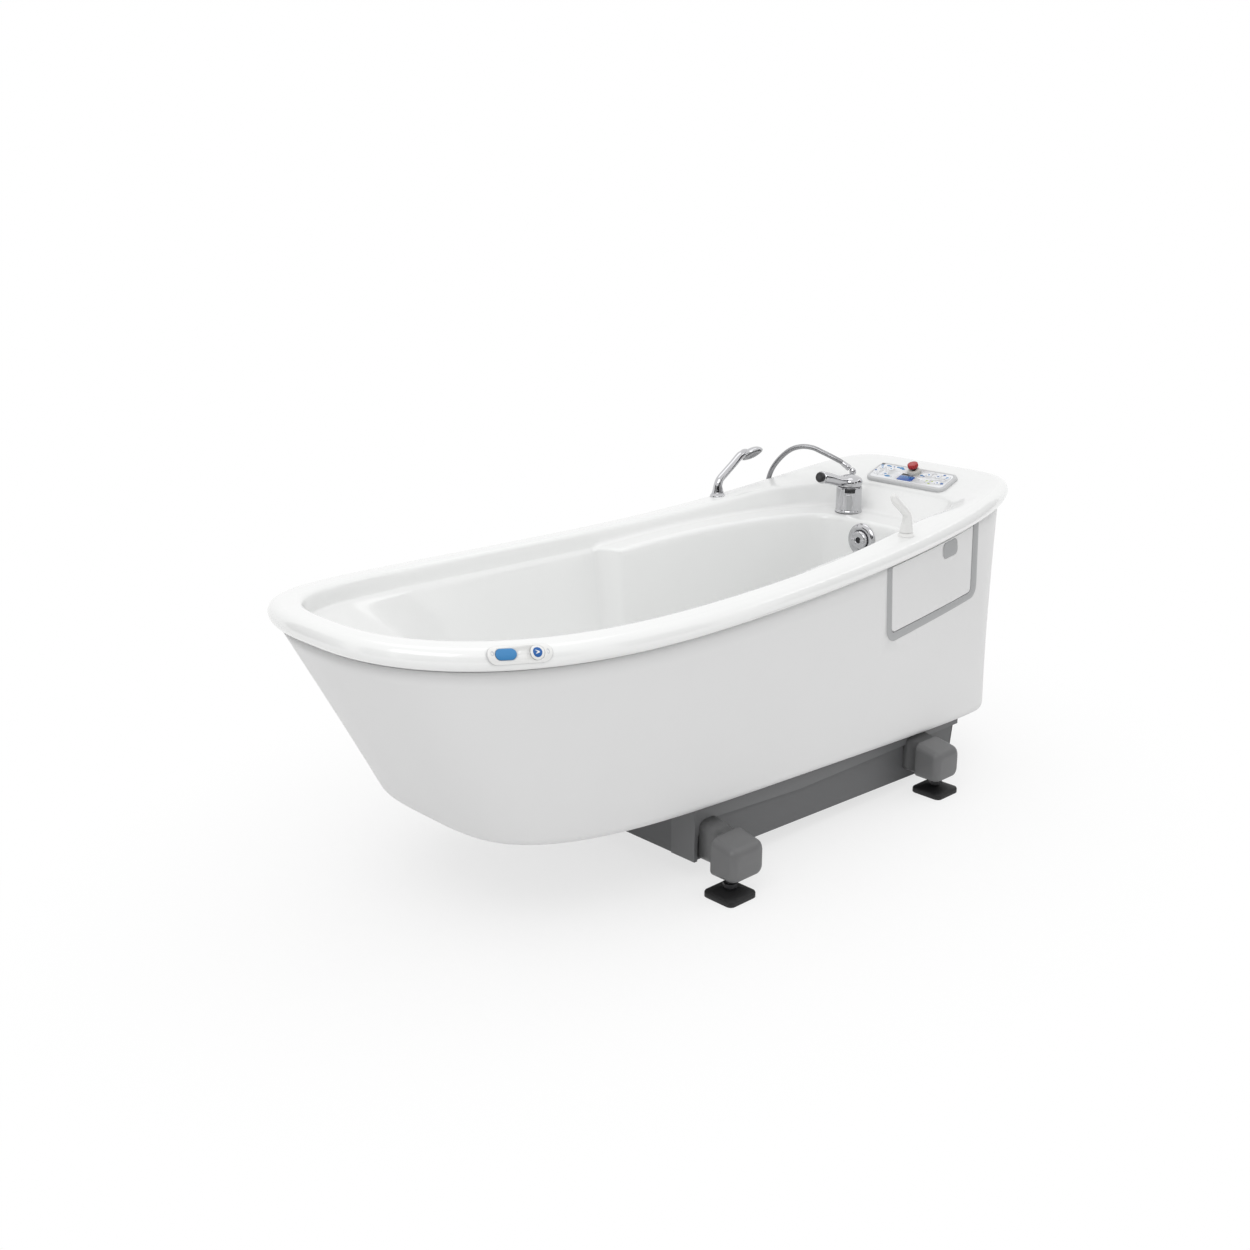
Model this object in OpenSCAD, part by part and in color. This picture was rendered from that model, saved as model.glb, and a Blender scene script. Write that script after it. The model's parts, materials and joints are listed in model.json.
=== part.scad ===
// Height-adjustable assisted bath on a low plinth, all sizes in millimetres.
// +X runs to the foot end with the controls, -Y is the side with the service hatch, +Z is up.
// The origin is on the floor, under the middle of the rim's outline.

/* [Rim] */
// Length over the rolled rim
tub_l = 2050; // [1980:5:2120]
// Half width that the rim's sides taper from, at the head end
head_half = 448; // [435:1:460]
// Half width that the rim's sides taper to, at the foot end
foot_half = 316; // [310:1:330]
// Height of the roll's centre line where the rim is lowest
rim_h = 634; // [620:1:650]
// How far the roll's centre line climbs to the head end
head_rise = 84; // [60:1:100]
// How far the roll's centre line climbs to the foot end
foot_rise = 58; // [45:1:70]
// Radius of the rolled edge
roll_r = 25; // [22:0.5:27]
// Width of the rim, seen from above, along the head half
rim_w = 64; // [58:1:70]
// Width of the rim, seen from above, near the foot
rim_w_foot = 86; // [80:1:92]
// Thickness of the tub's shell
shell_t = 8; // [6:0.5:9]

/* [Basin] */
// Height of the floor at the drain
floor_h = 240; // [236:1:250]
// How far the floor climbs from the drain to the seat
floor_fall = 22; // [10:1:30]
// Distance from the origin to the foot well's end wall, at the ledge
well_end = 711; // [700:1:720]
// Depth of the ledge behind the foot well
shelf_d = 89; // [84:1:95]
// Width of the arm ledges beside the foot well
ledge_w = 66; // [55:1:72]
// Distance from the origin to the deck's front edge
deck_x = 866; // [855:1:875]
// Hole for a tap's shank
tap_hole_d = 35; // [34:0.5:36]
// Hole for the drain's flange
drain_hole_d = 64; // [60:1:66]

/* [Apron] */
// Thickness of the apron
apron_t = 5; // [4:0.5:6]
// How far the apron stands in from the rim
apron_in = 20; // [17:1:22]
// Half width of the apron's lower edge
apron_half = 343; // [341:1:346]
// Distance from the origin to the lower edge's head end
apron_head = 755; // [740:1:770]
// Distance from the origin to the lower edge's foot end
apron_foot = 1000; // [985:1:1004]
// Height of the lower edge under the origin
apron_z = 179; // [174:1:184]
// How far the lower edge falls over one metre towards the foot
apron_fall = 42; // [38:1:44]

/* [Plinth and feet] */
// Distance from the origin to the plinth's head end
plinth_head = 250; // [244:1:256]
// Distance from the origin to the plinth's foot end
plinth_foot = 712; // [700:1:716]
// Half width of the plinth
plinth_half = 316; // [312:1:318]
// Height of the plinth's lower edge
plinth_z = 50; // [46:1:56]
// Height at which the plinth's side steps in
recess_z = 130; // [126:1:134]
// Distance from the origin to the head feet
foot_head_x = 240; // [230:1:250]
// Distance from the middle to the head feet
foot_head_y = 408; // [402:1:414]
// Distance from the origin to the foot-end feet
foot_foot_x = 568; // [555:1:580]
// Distance from the middle to the foot-end feet
foot_foot_y = 374; // [374:1:385]
// Side of a foot's boot
boot_w = 84; // [78:1:90]
// Side of a foot's pad
pad_w = 76; // [70:1:80]

/* [Lift] */
// How far the bath rises
lift_stroke = 300; // [250:5:310]
// Outside diameter of a column's outer tube
column_d = 52; // [50:1:53]
// Wall of a column's tubes
column_wall = 3; // [2.5:0.5:3.5]
// Distance of the columns from the middle
column_y = 279; // [277:1:280]

/* [Service hatch] */
// Distance from the origin to the hatch frame's head side
hatch_x0 = 374; // [368:1:380]
// Distance from the origin to the hatch frame's foot side
hatch_x1 = 786; // [778:1:792]
// Height of the hatch frame's lower edge at its head side
hatch_z0 = 434; // [428:1:440]
// Width of the hatch frame's border
hatch_border = 21; // [18:1:24]
// Gap between the hatch door and its frame
hatch_gap = 2; // [1.6:0.1:2.5]
// Thickness of the hatch door
door_t = 8; // [7:0.5:9]

/* [Controls and taps] */
// Width of the control panel's frame
panel_w = 262; // [254:1:270]
// Depth of the control panel's frame
panel_d = 86; // [82:1:88]
// Height of the control panel's frame
panel_h = 11; // [9:0.5:13]
// Diameter of the stop button's head
stop_d = 30; // [26:1:34]
// Diameter of the mixer's body
mixer_d = 70; // [64:1:72]
// Height of the mixer's body
mixer_h = 72; // [68:1:78]
// Distance of the mixer from the middle
mixer_y = 101; // [95:1:107]
// Distance from the origin to the two collars on the rim
collar_x = 470; // [460:1:480]
// Outside diameter of a collar's foot
collar_d = 42; // [40:1:44]
// Diameter of the overflow's rosette
rosette_d = 88; // [80:1:92]
// Length of the rim's small keypad
pill_l = 128; // [120:1:134]
// Width of the rim's small keypad
pill_w = 42; // [38:1:44]
// Diameter of the shower hose
hose_d = 14; // [13:0.5:15]

/* [Hidden] */
$fn = 48;
// Clearances: a seat between fixed pieces, a run between moving ones, a press of a key
seat = 0.3;
run = 0.4;
half_l = tub_l / 2;
low_x = -213;
rise_power = 2.33;
head_n = 2.78;
foot_n = 6.8;

function lin(a, b, t) = a + (b - a) * t;
function part01(t) = min(1, max(0, t));
function ease(t) = let (c = part01(t)) c * c * (3 - 2 * c);
function unit(v) = v / norm(v);

// Height of the roll's centre line along the bath
function roll_z(x) =
    let (u = (x - low_x) / half_l)
    rim_h + (u < 0 ? head_rise : foot_rise) * pow(abs(u), rise_power);
// Half width of the rim before its ends are rounded off
function taper(x) = lin(head_half, foot_half, (x + half_l) / tub_l);
// Half width of the rim with its rounded ends
function rim_half(x) =
    let (n = x < 0 ? head_n : foot_n)
    taper(x) * pow(max(0, 1 - pow(abs(x) / half_l, n)), 1 / n);
// Width of the rim seen from above
function rim_width(x) = lin(rim_w, rim_w_foot, ease(x / well_end));

// The outlines share their stations, given as directions from the middle. They crowd
// at the corners and at the step where the wide seat narrows to the foot well.
step_l = 45;
corner_steps = 13;
head_steps = 14;
function crowd(t) = t + 0.1 * sin(360 * t);
half_dirs = concat(
    [for (k = [0 : corner_steps]) 85 * crowd(k / corner_steps)],
    [for (x = [step_l, step_l * 2 / 3, step_l / 3, 0]) acos(x / well_end)],
    [for (k = [1 : head_steps]) 90 + 90 * crowd(k / head_steps)]
);
half_count = len(half_dirs);
dirs = concat(half_dirs, [for (k = [half_count - 2 : -1 : 1]) 360 - half_dirs[k]]);
stations = len(dirs);

// A point of an outline: a superellipse whose half width follows a function of x
function plan_pt(a, head, foot, nh, nf, half) =
    let (c = cos(a), s = sin(a), n = c < 0 ? nh : nf,
         r = pow(pow(abs(c), n) + pow(abs(s), n), -1 / n),
         x = (c < 0 ? head : foot) * r * c)
    [x, half(x) * r * s];
function ring(head, foot, nh, nf, half, z) =
    [for (a = dirs) let (p = plan_pt(a, head, foot, nh, nf, half)) [p.x, p.y, z(p.x)]];

// Joins rings of points into one closed skin. With tips, the first and last ring close
// at a point, and without them the last ring joins the first.
function skin_faces(n, m, tips) =
    let (quad = function (i, j, k)
             [[i * m + k, i * m + (k + 1) % m, j * m + (k + 1) % m],
              [i * m + k, j * m + (k + 1) % m, j * m + k]])
    concat(
        [for (i = [0 : n - 2], k = [0 : m - 1], f = quad(i, i + 1, k)) f],
        tips ? [for (k = [0 : m - 1]) [n * m, (k + 1) % m, k]]
             : [for (k = [0 : m - 1], f = quad(n - 1, 0, k)) f],
        tips ? [for (k = [0 : m - 1]) [n * m + 1, (n - 1) * m + k, (n - 1) * m + (k + 1) % m]] : []
    );
module skin(rings, tips = []) {
    points = concat([for (r = rings, p = r) p], tips);
    polyhedron(points, skin_faces(len(rings), len(rings[0]), len(tips) > 0), 3);
}

// A tube swept along a route, with flat ends and one radius for each point
function route_dir(p, i) = unit(p[min(i + 1, len(p) - 1)] - p[max(i - 1, 0)]);
function carry(u, t) = unit(u - (u * t) * t);
function route_sides(p, u0) =
    [for (i = 0, u = carry(u0, route_dir(p, 0)); i < len(p);
          i = i + 1, u = i < len(p) ? carry(u, route_dir(p, i)) : u) u];
module swept(p, r, sides, u0 = [1, 0, 0]) {
    us = route_sides(p, u0);
    rings = [for (i = [0 : len(p) - 1])
        let (t = route_dir(p, i), v = cross(us[i], t), q = is_list(r) ? r[i] : r)
        [for (k = [0 : sides - 1])
            p[i] + q * (cos(360 * k / sides) * us[i] + sin(360 * k / sides) * v)]];
    skin(rings, [p[0], p[len(p) - 1]]);
}

// A rounded rectangle with true arcs, and profiles extruded along Y or along X
module round_rect(x, y, r) {
    square([x - 2 * r, y], center = true);
    square([x, y - 2 * r], center = true);
    for (i = [-1, 1], j = [-1, 1]) translate([i * (x / 2 - r), j * (y / 2 - r)]) circle(r);
}
module along_y(y0, y1) {
    translate([0, y1, 0]) rotate([90, 0, 0]) linear_extrude(y1 - y0) children();
}
module along_x(x0, x1) {
    translate([x0, 0, 0]) rotate([90, 0, 90]) linear_extrude(x1 - x0) children();
}
module both_sides() {
    children();
    mirror([0, 1, 0]) children();
}

// Tub shell
// Where the seat narrows to the foot well: 0 at the seat, 1 in the well
function well_step(x) = ease(x / step_l);
shelf_end = well_end + shelf_d;
function ledge_z(x) =
    x < 0 ? roll_z(x) - 16
          : roll_z(0) - 16 + 10 * x / shelf_end + 14 * sin(180 * x / shelf_end);
function floor_z(x) = floor_h + floor_fall * (drain_x - x) / 1000;
drain_x = well_end - 151;
ledge_drop = 3;
// The ledge's height, for the outline of the well's upper edge
function shelf(x) = x < 0 ? ledge_z(x) : ledge_z(x * shelf_end / well_end);
shelf_z = ledge_z(shelf_end);
// How far the deck sinks below the rim's top towards its front edge
deck_dip = 28;
crown = 27;

function roll_ring(r, a) =
    let (d = roll_r - r * cos(a))
    ring(half_l - d, half_l - d, head_n, foot_n, function (x) taper(x) - d,
         function (x) roll_z(x) + r * sin(a));
// A ring of the basin: its reach to head and foot, its inset from the rim at the seat and in
// the well, its height, and how far the shell's back is from its face
function bowl_ring(head, foot, seat_in, well_in, z, t, nh = head_n, nf = 6) =
    ring(head + t, foot + t, nh, nf,
         function (x) taper(x) - rim_width(x) - lin(seat_in, well_in, well_step(x)) + t,
         function (x) z(x) - t);
function deck_z(x, reach, dip) = roll_z(x) + crown - dip * ease((x - 560) / (reach - 560));
mid_reach = lin(deck_x, half_l - roll_r, 0.5);
function deck_mid(t) =
    let (reach = mid_reach)
    ring(half_l - roll_r - rim_w * 0.35, reach, head_n, foot_n,
         function (x) taper(x) - lin(roll_r, rim_width(x), 0.5),
         function (x) deck_z(x, reach, deck_dip / 2) - t);
head_in = half_l - rim_w;
function edge_ring(d, drop, t) =
    ring(head_in - d + t, deck_x - d + t, head_n, 6,
         function (x) taper(x) - rim_width(x) - d + t,
         function (x) deck_z(x, deck_x, deck_dip) - drop - (t > 0 ? shell_t : 0));
function bowl(t) = [
    bowl_ring(head_in - 5, shelf_end, 5, 5, function (x) ledge_z(x), t),
    bowl_ring(head_in - 8, well_end, 8, 5 + ledge_w,
              function (x) shelf(x) - lin(4, ledge_drop, well_step(x)), t),
    bowl_ring(head_in - 16, well_end - 6, 14, 11 + ledge_w, function (x) shelf(x) - 15, t),
    bowl_ring(705, well_end - 15, 36, 18 + ledge_w, function (x) 460, t),
    bowl_ring(545, well_end - 27, 66, 29 + ledge_w, function (x) 330, t),
    bowl_ring(480, well_end - 42, 88, 45 + ledge_w, function (x) floor_z(x) + 26, t),
    bowl_ring(440, well_end - 60, 108, 62 + ledge_w, function (x) floor_z(x) + 6, t),
    bowl_ring(405, well_end - 84, 132, 84 + ledge_w, function (x) floor_z(x), t),
    bowl_ring(190, 300, 250, 200, function (x) floor_z(x), t)
];
back_r = roll_r - 7;
roll_angles = [-120, -90, -60, -30, 0, 30, 60, 90];
back_angles = [-120, -60, 0, 45, 90];
bowl_mid_x = 60;
tub_top = concat([for (a = roll_angles) roll_ring(roll_r, a)], [deck_mid(0)],
                 [edge_ring(-9, 0, 0), edge_ring(0, 5, 0), edge_ring(3, 13, 0)], bowl(0));
tub_back = concat([for (a = back_angles) roll_ring(back_r, a)], [deck_mid(8)],
                  [edge_ring(-9, 0, shell_t), edge_ring(3, 6, shell_t)], bowl(shell_t));

// Places of the fittings in the shell
mixer_x = well_end + shelf_d * 0.63;
mixer_seat = shelf_z - 2;
hand_in = 36;
spray_in = 40;
function collar_y(inset) = rim_half(collar_x) - inset;
collar_seat = roll_z(collar_x) + 24;
collar_hole_d = 24;
wall_draft = 3.4;
overflow_z = shelf_z - 53;
overflow_x = well_end - 8.3;
overflow_hole_d = 52;
drain_seat = floor_z(drain_x) - 1;
flange_d = 84;
// The deck's surface behind the shelf, up to the roll, for the panel's seat
deck_p1 = [deck_x + 9, deck_z(deck_x + 9, deck_x, deck_dip)];
deck_p2 = [mid_reach, deck_z(mid_reach, mid_reach, deck_dip / 2)];
panel_tilt = atan2(deck_p2.y - deck_p1.y, deck_p2.x - deck_p1.x);
panel_r = 20;
module at_panel() {
    translate([deck_p1.x - 3, 0, deck_p1.y - 2]) rotate([0, -panel_tilt, 0]) children();
}
module at_overflow() {
    translate([overflow_x, 0, overflow_z]) rotate([0, wall_draft - 90, 0]) children();
}
module at_drain() {
    translate([drain_x, 0, drain_seat]) children();
}
module at_mixer() {
    translate([mixer_x, mixer_y, mixer_seat]) children();
}
module at_handset() {
    translate([collar_x, collar_y(hand_in), collar_seat]) children();
}
module at_spray() {
    translate([collar_x, -collar_y(spray_in), collar_seat]) children();
}

// Lift columns and the carrier that hangs the tub on them
column_x = 225;
head_z = 585;
head_t = 8;
block_z = head_z + head_t + seat;
module blocks() {
    for (x = [column_x - screw_x, column_x + screw_x])
        translate([x - 18, column_y - 17, block_z])
            cube([36, 26, ledge_z(column_x) - 7 - block_z]);
}
module tub_shell() {
    color("white") difference() {
        union() {
            skin(concat([for (k = [len(tub_top) - 1 : -1 : 0]) tub_top[k]], tub_back),
                 [[bowl_mid_x, 0, floor_z(bowl_mid_x)],
                  [bowl_mid_x, 0, floor_z(bowl_mid_x) - shell_t]]);
            both_sides() blocks();
        }
        at_mixer() {
            cylinder(d = mixer_d + 6, h = 20);
            translate([0, 0, -20]) cylinder(d = tap_hole_d, h = 40);
        }
        at_handset() {
            cylinder(d = collar_d + 1, h = 12);
            translate([0, 0, -20]) cylinder(d = collar_hole_d, h = 30);
        }
        at_spray() {
            cylinder(d = collar_d + 1, h = 12);
            translate([0, 0, -20]) cylinder(d = collar_hole_d, h = 30);
        }
        at_overflow() translate([0, 0, -20]) cylinder(d = overflow_hole_d, h = 40);
        at_drain() {
            cylinder(d = flange_d + 1, h = 10);
            translate([0, 0, -20]) cylinder(d = drain_hole_d, h = 30);
        }
        at_panel() {
            translate([panel_d / 2, 0, -0.1]) linear_extrude(12)
                round_rect(panel_d + 1, panel_w + 1, panel_r);
            translate([panel_d / 2, 0, -30]) linear_extrude(40)
                round_rect(panel_d - 20, panel_w - 24, 12);
        }
        keypad_hole();
        translate([column_x, 0, block_z - 1]) both_sides()
            for (i = [-1, 1]) translate([i * screw_x, column_y - 4, 0])
                    cylinder(d = screw_d + 0.6, h = 18);
    }
}

// Apron: a skirt ruled between an outline under the roll and its own lower edge
apron_foot_n = 6.8;
function apron_edge(x) = apron_z - (apron_fall + 1) * x / 1000 + 2 * x * x / 1000000;
function apron_pt(a, t, d) =
    let (p = plan_pt(a, half_l - apron_in - d, half_l - apron_in - d, head_n, foot_n,
                     function (x) taper(x) - apron_in - d),
         q = plan_pt(a, apron_head - d, apron_foot - d, 3.7, apron_foot_n,
                     function (x) apron_half - d))
    lin([p.x, p.y, roll_z(p.x) - roll_r - 1], [q.x, q.y, apron_edge(q.x)], t);
function apron_ring(t, d, up = 0) = [for (a = dirs) apron_pt(a, t, d) + [0, 0, up]];
// The skirt's side at a place, for parts that seat on it
function side_y(x, z) =
    let (top = roll_z(x) - roll_r - 1, t = (top - z) / (top - apron_edge(x)),
         reach = half_l - apron_in,
         y0 = (taper(x) - apron_in) * pow(1 - pow(x / reach, foot_n), 1 / foot_n),
         y1 = apron_half * pow(1 - pow(x / apron_foot, apron_foot_n), 1 / apron_foot_n))
    lin(y0, y1, t);
module skirt(out, in) {
    skin([apron_ring(0, -out), apron_ring(0.5, -out), apron_ring(0.95, -out),
          apron_ring(0.95, in), apron_ring(0.5, in), apron_ring(0, in)]);
}
hatch_slope = (roll_z(hatch_x1) - roll_z(hatch_x0)) / (hatch_x1 - hatch_x0) * 0.86;
hatch_r = 36;
// The hatch's outline in the X-Z plane: square at the top, rounded at the bottom
module hatch_shape(d, top, side = 0) {
    r = hatch_r - d;
    x0 = hatch_x0 + d;
    x1 = hatch_x1 - d * 1.35;
    z0 = hatch_z0 + d;
    rise = hatch_slope * (x1 - x0);
    lean = 10 + side;
    intersection() {
        polygon(concat(
            [for (k = [0 : 4]) [x1 - r + r * sin(k * 22.5) + lean * r / 200,
                                z0 + rise + r - r * cos(k * 22.5)]],
            [for (k = [20 : -1 : 0])
                let (x = lin(x0 - 8, x1 + lean, k / 20)) [x, roll_z(x) - roll_r - top]],
            [for (k = [4 : -1 : 0]) [x0 + r - r * sin(k * 22.5),
                                     z0 + r - r * cos(k * 22.5)]]));
        translate([0, 0]) square([2000, 2000]);
    }
}
door_in = hatch_border + hatch_gap;
module hatch_band(out, in, d, top) {
    intersection() {
        skirt(out, in);
        along_y(-500, 0) hatch_shape(d, top);
    }
}
grommet_x = 610;
grommet_z = 528;
module apron() {
    color("whitesmoke") difference() {
        skin([apron_ring(0, 0), apron_ring(0.5, 0), apron_ring(0.96, 0), apron_ring(0.985, 2.5),
              apron_ring(1, 8), apron_ring(1, 13, 2), apron_ring(0.965, 9),
              apron_ring(0.94, apron_t), apron_ring(0.5, apron_t), apron_ring(0, apron_t)]);
        along_y(-500, 0) hatch_shape(-seat, -5);
        along_y(200, 500) translate([grommet_x, grommet_z]) circle(d = 24);
    }
}

// Service hatch
hinge_up = 16;
hinge_in = door_t / 2;
hinge_d = 5;
hinge_a = [hatch_x0 + door_in, 0, hatch_z0 + door_in + hinge_up];
hinge_b = [hatch_x1 - door_in * 1.35, 0, hatch_z0 + door_in + hinge_up
           + hatch_slope * (hatch_x1 - hatch_x0 - 2.35 * door_in)];
function hinge_pt(p, s) = let (x = p.x + s, z = p.z + s * hatch_slope)
    [x, -(side_y(x, z) - hinge_in), z];
hinge_p = hinge_pt(hinge_a, 0);
hinge_q = hinge_pt(hinge_b, 0);
hinge_len = norm(hinge_q - hinge_p);
module at_hinge(from) {
    d = unit(hinge_q - hinge_p);
    translate(from == 0 ? hinge_p : hinge_q)
        rotate([0, acos(d.z), atan2(d.y, d.x)]) children();
}
door_top = 4;
bar_in = door_t + 4;
bar_t = 4;
bar_h = 16;
// The apron's own thickness and some more, to keep the frame's flange behind it
module apron_wall(more) {
    skin([apron_ring(0, -2), apron_ring(0.5, -2), apron_ring(0.96, -2),
          apron_ring(0.94, apron_t + more), apron_ring(0.5, apron_t + more),
          apron_ring(0, apron_t + more)]);
}
module hatch_frame() {
    color("silver") difference() {
        union() {
            difference() {
                union() {
                    hatch_band(0.8, door_t + 6, 0, 1);
                    difference() {
                        hatch_band(-apron_t + 2, apron_t + 4.5, -12, 1);
                        apron_wall(0.8);
                    }
                }
                along_y(-500, 0) hatch_shape(hatch_border, -30);
            }
            intersection() {
                skirt(-bar_in, bar_in + bar_t);
                along_y(-500, 0) difference() {
                    hatch_shape(-2, 1);
                    hatch_shape(-9, bar_h);
                }
            }
        }
        at_hinge(0) translate([0, 0, -9]) cylinder(d = hinge_d + 0.6, h = 40);
        at_hinge(1) translate([0, 0, -31]) cylinder(d = hinge_d + 0.6, h = 40);
    }
}
latch_x = hatch_x1 - 136;
latch_z = roll_z(latch_x) - roll_r - 28;
latch_w = 68;
latch_h = 42;
module latch_shape(d) {
    translate([latch_x, latch_z]) rotate(atan(hatch_slope)) round_rect(latch_w - d, latch_h - d, 14);
}
module hatch_door() {
    color("gainsboro") difference() {
        union() {
            hatch_band(0, door_t, door_in, door_top);
            at_hinge(0) translate([0, 0, -8]) cylinder(d = hinge_d, h = 34);
            at_hinge(1) translate([0, 0, -26]) cylinder(d = hinge_d, h = 34);
        }
        along_y(-500, 0) latch_shape(0);
    }
}
latch_gap = 0.6;
latch_t = 4;
module hatch_latch() {
    color("darkgray") intersection() {
        skirt(1.2, latch_t);
        along_y(-500, 0) latch_shape(2 * latch_gap);
    }
}
// Magnets on the frame's top bar hold the door shut
magnet_x = [hatch_x0 + 96, hatch_x1 - 66];
module hatch_magnets() {
    color("dimgray") for (x = magnet_x) {
        top = roll_z(x) - roll_r;
        intersection() {
            skirt(-door_t - 1, bar_in - 0.7);
            along_y(-500, 0) translate([x - 15, top - bar_h + 1]) square([30, 10]);
        }
    }
}

// Plinth, feet and lift
plinth_t = 3;
step_in = 5;
module plinth_plan(d, side) {
    translate([-plinth_head + d, -side + d])
        square([plinth_head + plinth_foot - 2 * d, 2 * (side - d)]);
}
function plinth_top(x) = apron_edge(x) + 8;
module plinth_body(d) {
    intersection() {
        union() {
            translate([0, 0, recess_z + d]) linear_extrude(200) plinth_plan(d, plinth_half);
            linear_extrude(300) plinth_plan(d, plinth_half - step_in);
        }
        along_y(-400, 400) polygon([[-plinth_head, plinth_z - d], [plinth_foot, plinth_z - d],
                                    [plinth_foot, plinth_top(plinth_foot) + d],
                                    [-plinth_head, plinth_top(-plinth_head) + d]]);
    }
}
arch_x1 = -186;
arch_z = 124;
arm_w = 44;
module plinth_cover() {
    color("lightgray") difference() {
        plinth_body(0);
        plinth_body(plinth_t);
        // arches for the head arms and slots for the foot-end arms
        along_y(-500, 500) {
            translate([-260, 0]) square([74, arch_z - 22]);
            translate([-260, 0]) square([52, arch_z]);
            translate([arch_x1 - 22, arch_z - 22]) circle(22);
            translate([foot_foot_x - arm_w / 2 - 8, 0]) square([arm_w + 16, arch_z]);
        }
    }
}
arm_z = 62;
arm_h = 44;
rail_y = 240;
module base_frame() {
    color("slategray") difference() {
        union() {
            for (p = [[-foot_head_x + 24, foot_head_y], [foot_foot_x, foot_foot_y]])
                translate([p.x - arm_w / 2, -p.y + 28, arm_z]) cube([arm_w, 2 * p.y - 56, arm_h]);
            both_sides() translate([-foot_head_x + 30, rail_y - 25, arm_z])
                cube([foot_head_x + foot_foot_x - 30, 50, arm_h]);
            both_sides() translate([column_x - 60, rail_y - 10, arm_z]) cube([120, 74, 8]);
            translate([column_x - 90, -rail_y, arm_z]) cube([180, 2 * rail_y, 6]);
            // brackets that the plinth's cover is fixed to
            both_sides() for (x = [-120, 420])
                translate([x, rail_y, arm_z + 10])
                    cube([50, plinth_half - step_in - plinth_t - seat - rail_y, 24]);
        }
        both_sides() translate([column_x, column_y, arm_z + 8]) cylinder(d = column_d + 2 * seat, h = 60);
    }
}
module at_feet() {
    both_sides() {
        translate([-foot_head_x, foot_head_y, 0]) children(0);
        translate([foot_foot_x, foot_foot_y, 0]) children(0);
    }
}
boot_z0 = 50;
boot_z1 = 145;
stem_d = 20;
module foot_boots() {
    color("gray") difference() {
        at_feet() union() {
            translate([0, 0, boot_z0]) linear_extrude(boot_z1 - boot_z0 - 4)
                round_rect(boot_w, boot_w, 12);
            translate([0, 0, boot_z0]) linear_extrude(boot_z1 - boot_z0)
                round_rect(boot_w - 8, boot_w - 8, 9);
        }
        at_feet() translate([0, 0, boot_z0 - 1]) cylinder(d = stem_d + 2 * seat, h = 70);
        for (p = [[-foot_head_x + 24, foot_head_y], [foot_foot_x, foot_foot_y]])
            translate([p.x - arm_w / 2 - seat, -p.y + 28 - seat, arm_z - seat])
                cube([arm_w + 2 * seat, 2 * p.y - 56 + 2 * seat, arm_h + 2 * seat]);
    }
}
pad_h = 20;
module foot_stems() {
    color("black") at_feet() union() {
        translate([0, 0, 12]) cylinder(d = stem_d, h = 100);
        translate([0, 0, pad_h + 6]) cylinder(d = 34, h = 9, $fn = 6);
    }
}
module foot_pads() {
    color("black") difference() {
        at_feet() union() {
            linear_extrude(pad_h - 6) round_rect(pad_w, pad_w, 12);
            translate([0, 0, pad_h - 7]) cylinder(d1 = pad_w - 12, d2 = 40, h = 7);
        }
        at_feet() translate([0, 0, 12 - seat]) cylinder(d = stem_d + 2 * seat, h = 20);
    }
}
stage_r = [column_d / 2, column_d / 2 - column_wall - run, column_d / 2 - 2 * (column_wall + run)];
module columns(r, bore, z0, z1) {
    both_sides() translate([column_x, column_y, z0]) difference() {
        cylinder(r = r, h = z1 - z0);
        if (bore > 0) translate([0, 0, -1]) cylinder(r = bore, h = z1 - z0 + 2);
    }
}
module column_outer() {
    color("silver") {
        columns(stage_r[0], stage_r[0] - column_wall, arm_z + 8 + seat, head_z - 155);
    }
}
module column_middle() {
    color("gainsboro") columns(stage_r[1], stage_r[1] - column_wall, arm_z + 34, head_z - 105);
}
module column_inner() {
    color("white") columns(stage_r[2], 0, arm_z + 58, head_z - seat);
}
pump_z = arm_z + 6 + seat;
module pump_unit() {
    color("dimgray") translate([column_x, 0, 0]) {
        translate([-50, -140, pump_z]) cube([100, 150, 78]);
        translate([0, 10, pump_z + 39]) rotate([-90, 0, 0]) cylinder(d = 70, h = 110);
        translate([-50, 10, pump_z]) cube([100, 30, 30]);
    }
}
leg_x = [-78, 54];
leg_w = 24;
leg_y = column_y - 17;
beam_z = floor_h - 44;
screw_x = 42;
screw_d = 6;
module tub_carrier() {
    color("lightsteelblue") difference() {
        union() {
            both_sides() {
                translate([column_x - 78, column_y - 29, head_z]) cube([156, 60, head_t]);
                for (x = leg_x) translate([column_x + x, leg_y, beam_z + 4])
                    cube([leg_w, leg_w, head_z - beam_z - 3]);
            }
            for (x = leg_x) translate([column_x + x, -leg_y - leg_w, beam_z])
                cube([leg_w, 2 * (leg_y + leg_w), 30]);
        }
        both_sides() for (i = [-1, 1])
            translate([column_x + i * screw_x, column_y - 4, head_z - 1])
                cylinder(d = screw_d + 0.6, h = 20);
    }
}
module carrier_screws() {
    color("black") both_sides() for (i = [-1, 1])
        translate([column_x + i * screw_x, column_y - 4, 0]) {
        translate([0, 0, head_z - 5 - 0.1]) cylinder(d = 2 * screw_d, h = 5);
        translate([0, 0, head_z - 1]) cylinder(d = screw_d, h = 22);
    }
}

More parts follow.
